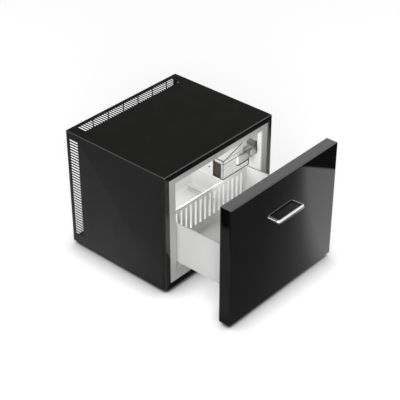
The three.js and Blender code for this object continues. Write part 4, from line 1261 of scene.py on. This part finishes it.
class MINIBAR_OT_stage(bpy.types.Operator):
    """Pale floor, soft light and the camera"""

    bl_idname = "minibar.stage"
    bl_label = "Studio"
    bl_options = {"REGISTER", "UNDO"}

    # Lights of the room, both aimed at one spot
    subject = Vector((0.0, 0.0, 0.15))
    key_place, key_size = Vector((-2.8, -2.5, 1.9)), 2.4
    fill_place, fill_size = Vector((-0.85, -0.35, 0.1)), 0.5

    # Lights that stand for the lamp: one under the ceiling, one at the mouth
    lamp_side, lamp_drop, lamp_size = 0.45, 40 * MM, 0.16
    lamp_aim = Vector((0.58, 0.0, -1.0))
    glow_x, glow_out, glow_drop, glow_size = 20 * MM, 20 * MM, 80 * MM, 0.1
    glow_aim = Vector((1.0, 0.25, 0.1))

    # Soft shade on the floor where the cabinet comes close to it
    floor_half = 15.0
    near_reach, wide_reach = 75 * MM, 160 * MM
    contact_from, contact_to = (0.3, 0.64), (0.1, 1.0)
    near_power = 1.9
    wide_from, wide_to = (0.3, 0.8), (0.7, 1.0)

    # Painted reflection: the tone the floor shows to gloss surfaces, in bands that lean with the
    # depth
    lean_start, lean = 0.321, 1.126
    band_span = (-0.25, 0.25)
    band_stops = ((0.0, 0.08), (0.3, 0.085), (0.55, 0.125), (0.82, 0.20), (1.0, 0.76))
    left_span, left_tones = (-0.30, -0.22), (0.14, 0.0)
    reach_middle, reach_span, reach_tones = 0.07, (0.70, 0.72), (1.0, 0.03)

    # The same painted reflection beside the cabinet: outwards, up to its side, and towards the rear
    side_near, side_edge = (-0.60, -0.27), (-0.27, -0.25)
    side_start, side_lean = 0.255, 0.886
    side_depth, side_tones = (-0.22, 0.16), (0.0, 0.9)

    def execute(self, context):
        scene = context.scene
        sizes = scene.minibar_stage
        scene.view_settings.view_transform = "Standard"
        self.floor(scene, sizes)
        self.world(scene, sizes)
        low, high = cavity_box(scene)
        lamp = Vector((low.x * self.lamp_side, (low.y + high.y) / 2, high.z - self.lamp_drop))
        glow = Vector((self.glow_x, low.y - self.glow_out, high.z - self.glow_drop))
        key_aim, fill_aim = self.subject - self.key_place, self.subject - self.fill_place
        key = self.soft_light("key_light", self.key_place, key_aim, self.key_size, sizes.key_power)
        key.visible_glossy = True
        self.soft_light("fill_light", self.fill_place, fill_aim, self.fill_size, sizes.fill_power)
        self.soft_light("cabinet_lamp", lamp, self.lamp_aim, self.lamp_size, sizes.lamp_power)
        self.soft_light("wall_glow", glow, self.glow_aim, self.glow_size, sizes.wall_power)
        self.camera(scene, sizes)
        return {"FINISHED"}

    def floor(self, scene, sizes):
        bm = bmesh.new()
        bmesh.ops.create_grid(bm, x_segments=1, y_segments=1, size=self.floor_half)
        mesh = bpy.data.meshes.new("floor")
        bm.to_mesh(mesh)
        bm.free()
        floor = bpy.data.objects.new("floor", mesh)
        scene.collection.objects.link(floor)
        floor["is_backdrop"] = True
        mesh.materials.append(self.floor_finish(sizes))

    def floor_finish(self, sizes):
        """A pale floor, lifted to white for the camera, shaded at contacts, with a painted
        reflection for gloss rays.
        """
        finish = bpy.data.materials.new("pale_floor")
        finish.use_nodes = True
        tree = finish.node_tree
        shader = tree.nodes["Principled BSDF"]
        shader.inputs["Roughness"].default_value = 1.0
        shader.inputs["Specular IOR Level"].default_value = 0.0
        path = tree.nodes.new("ShaderNodeLightPath")
        near, wide = (self.open_share(tree, reach) for reach in (self.near_reach, self.wide_reach))
        contact = tree.nodes.new("ShaderNodeVectorMath")
        contact.operation = "SCALE"
        contact.inputs[0].default_value = sizes.floor_tone
        contact_share = add_range(tree, near, self.contact_from, self.contact_to)
        tree.links.new(contact_share, contact.inputs["Scale"])
        tree.links.new(contact.outputs["Vector"], shader.inputs["Base Color"])

        openness = add_math(
            tree, "MULTIPLY", add_math(tree, "POWER", near, self.near_power),
            add_range(tree, wide, self.wide_from, self.wide_to),
        )
        lift = add_math(tree, "MULTIPLY", openness, sizes.floor_lift)
        fill = tree.nodes.new("ShaderNodeEmission")
        shown_lift = add_math(tree, "MULTIPLY", lift, path.outputs["Is Camera Ray"])
        tree.links.new(shown_lift, fill.inputs["Strength"])
        seen = tree.nodes.new("ShaderNodeAddShader")
        tree.links.new(shader.outputs["BSDF"], seen.inputs[0])
        tree.links.new(fill.outputs["Emission"], seen.inputs[1])

        # Gloss rays see this painted reflection in place of the lit floor
        mirrored = tree.nodes.new("ShaderNodeEmission")
        tree.links.new(self.painted_mirror_tone(tree), mirrored.inputs["Color"])
        mix = tree.nodes.new("ShaderNodeMixShader")
        tree.links.new(path.outputs["Is Glossy Ray"], mix.inputs["Fac"])
        tree.links.new(seen.outputs["Shader"], mix.inputs[1])
        tree.links.new(mirrored.outputs["Emission"], mix.inputs[2])
        tree.links.new(mix.outputs["Shader"], tree.nodes["Material Output"].inputs["Surface"])
        return finish

    def open_share(self, tree, reach):
        node = tree.nodes.new("ShaderNodeAmbientOcclusion")
        node.inputs["Distance"].default_value = reach
        return node.outputs["AO"]

    def painted_mirror_tone(self, tree):
        """Painted reflection: an emitted tone that gloss rays see in place of the floor, in bands
        that stand in for its soft fall-off away from the light.
        """
        parts = tree.nodes.new("ShaderNodeSeparateXYZ")
        spot = tree.nodes.new("ShaderNodeTexCoord").outputs["Object"]
        tree.links.new(spot, parts.inputs["Vector"])
        x, y = parts.outputs["X"], parts.outputs["Y"]
        deep = add_math(tree, "ADD", y, self.lean_start)
        across = add_math(tree, "ADD", x, add_math(tree, "MULTIPLY", deep, self.lean))
        ramp = tree.nodes.new("ShaderNodeValToRGB")
        tree.links.new(add_range(tree, across, self.band_span), ramp.inputs["Fac"])
        ramp.color_ramp.interpolation = "B_SPLINE"
        elements = ramp.color_ramp.elements
        while len(elements) < len(self.band_stops):
            elements.new(0.5)
        for element, (position, tone) in zip(elements, self.band_stops):
            element.position = position
            element.color = (tone, tone, tone, 1.0)
        left_tone = add_range(tree, x, self.left_span, self.left_tones)
        tone = add_math(tree, "MAXIMUM", ramp.outputs["Color"], left_tone)
        tone = add_math(tree, "MAXIMUM", tone, self.side_tone(tree, x, y))
        reach = add_math(tree, "ABSOLUTE", add_math(tree, "SUBTRACT", x, self.reach_middle))
        reach_tone = add_range(tree, reach, self.reach_span, self.reach_tones)
        return add_math(tree, "MULTIPLY", tone, reach_tone)

    def side_tone(self, tree, x, y):
        """Painted reflection of the floor beside the cabinet, bright near its left side, fading
        outwards and forwards.
        """
        near = add_range(tree, x, self.side_near)
        beside = add_range(tree, x, self.side_edge, (1.0, 0.0))
        out = add_math(tree, "ADD", x, self.side_start)
        depth = add_math(tree, "ADD", y, add_math(tree, "MULTIPLY", out, self.side_lean))
        behind = add_range(tree, depth, self.side_depth, self.side_tones)
        return add_math(tree, "MULTIPLY", add_math(tree, "MULTIPLY", near, beside), behind)

    def world(self, scene, sizes):
        """White where it is seen or mirrored, a soft light from all around elsewhere."""
        world = bpy.data.worlds.new("studio_room")
        scene.world = world
        world.use_nodes = True
        tree = world.node_tree
        rays = tree.nodes.new("ShaderNodeLightPath").outputs
        direct = add_math(tree, "MAXIMUM", rays["Is Camera Ray"], rays["Is Glossy Ray"])
        shown = add_math(tree, "MAXIMUM", direct, rays["Is Transmission Ray"])
        back = tree.nodes["Background"]
        back.inputs["Color"].default_value = (1.0, 1.0, 1.0, 1.0)
        strength = add_range(tree, shown, (0.0, 1.0), (sizes.ambient, 1.0))
        tree.links.new(strength, back.inputs["Strength"])

    def soft_light(self, name, stand, direction, size, energy):
        lamp = bpy.data.lights.new(name, "AREA")
        lamp.shape = "DISK"
        lamp.size = size
        lamp.energy = energy
        light = bpy.data.objects.new(name, lamp)
        light.location = stand
        light.rotation_euler = aimed(direction)
        light.visible_camera = light.visible_transmission = light.visible_glossy = False
        bpy.context.scene.collection.objects.link(light)
        return light

    def camera(self, scene, sizes):
        lens = bpy.data.cameras.new("camera")
        lens.lens = sizes.lens
        lens.sensor_width = 36.0
        camera = bpy.data.objects.new("camera", lens)
        camera.location = sizes.camera_place
        camera.rotation_euler = aimed(Vector(sizes.camera_target) - camera.location)
        scene.collection.objects.link(camera)
        scene.camera = camera


OPERATORS = (
    MINIBAR_OT_stage,
    MINIBAR_OT_front_frame,
    MINIBAR_OT_casing,
    MINIBAR_OT_rear,
    MINIBAR_OT_liner,
    MINIBAR_OT_bin,
    MINIBAR_OT_drawer_front,
    MINIBAR_OT_handle,
    MINIBAR_OT_lamp,
    MINIBAR_OT_runners,
    MINIBAR_OT_cooler,
    MINIBAR_OT_fan,
    MINIBAR_OT_power,
    MINIBAR_OT_inner_parts,
)


class MINIBAR_PT_panel(bpy.types.Panel):
    """Lists the steps that build the minibar cabinet, and its sizes and colours"""

    bl_idname = "MINIBAR_PT_panel"
    bl_label = "Minibar cabinet"
    bl_space_type = "VIEW_3D"
    bl_region_type = "UI"
    bl_category = "Minibar"

    def draw(self, context):
        column = self.layout.column(align=True)
        for operator in OPERATORS:
            column.operator(operator.bl_idname)
        for name, group in SETTINGS.items():
            box = self.layout.box()
            for setting in group.__annotations__:
                box.prop(getattr(context.scene, name), setting)


SETTINGS = {
    "minibar_casing": MinibarCasing,
    "minibar_drawer": MinibarDrawer,
    "minibar_interior": MinibarInterior,
    "minibar_stage": MinibarStage,
}
CLASSES = (*SETTINGS.values(), *OPERATORS, MINIBAR_PT_panel)


def register():
    for cls in CLASSES:
        bpy.utils.register_class(cls)
    for name, group in SETTINGS.items():
        setattr(bpy.types.Scene, name, PointerProperty(type=group))


def unregister():
    for name in SETTINGS:
        delattr(bpy.types.Scene, name)
    for cls in reversed(CLASSES):
        bpy.utils.unregister_class(cls)


def main():
    register()
    for operator in OPERATORS:
        step = operator.bl_idname.split(".")[1]
        if getattr(bpy.ops.minibar, step)() != {"FINISHED"}:
            raise RuntimeError(f"{operator.bl_label} didn't finish")
    boxes = {"cad": CAD_BOX, "visual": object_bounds()}
    {name: [list(corner) for corner in box] for name, box in boxes.items()}


if __name__ == "__main__":
    main()
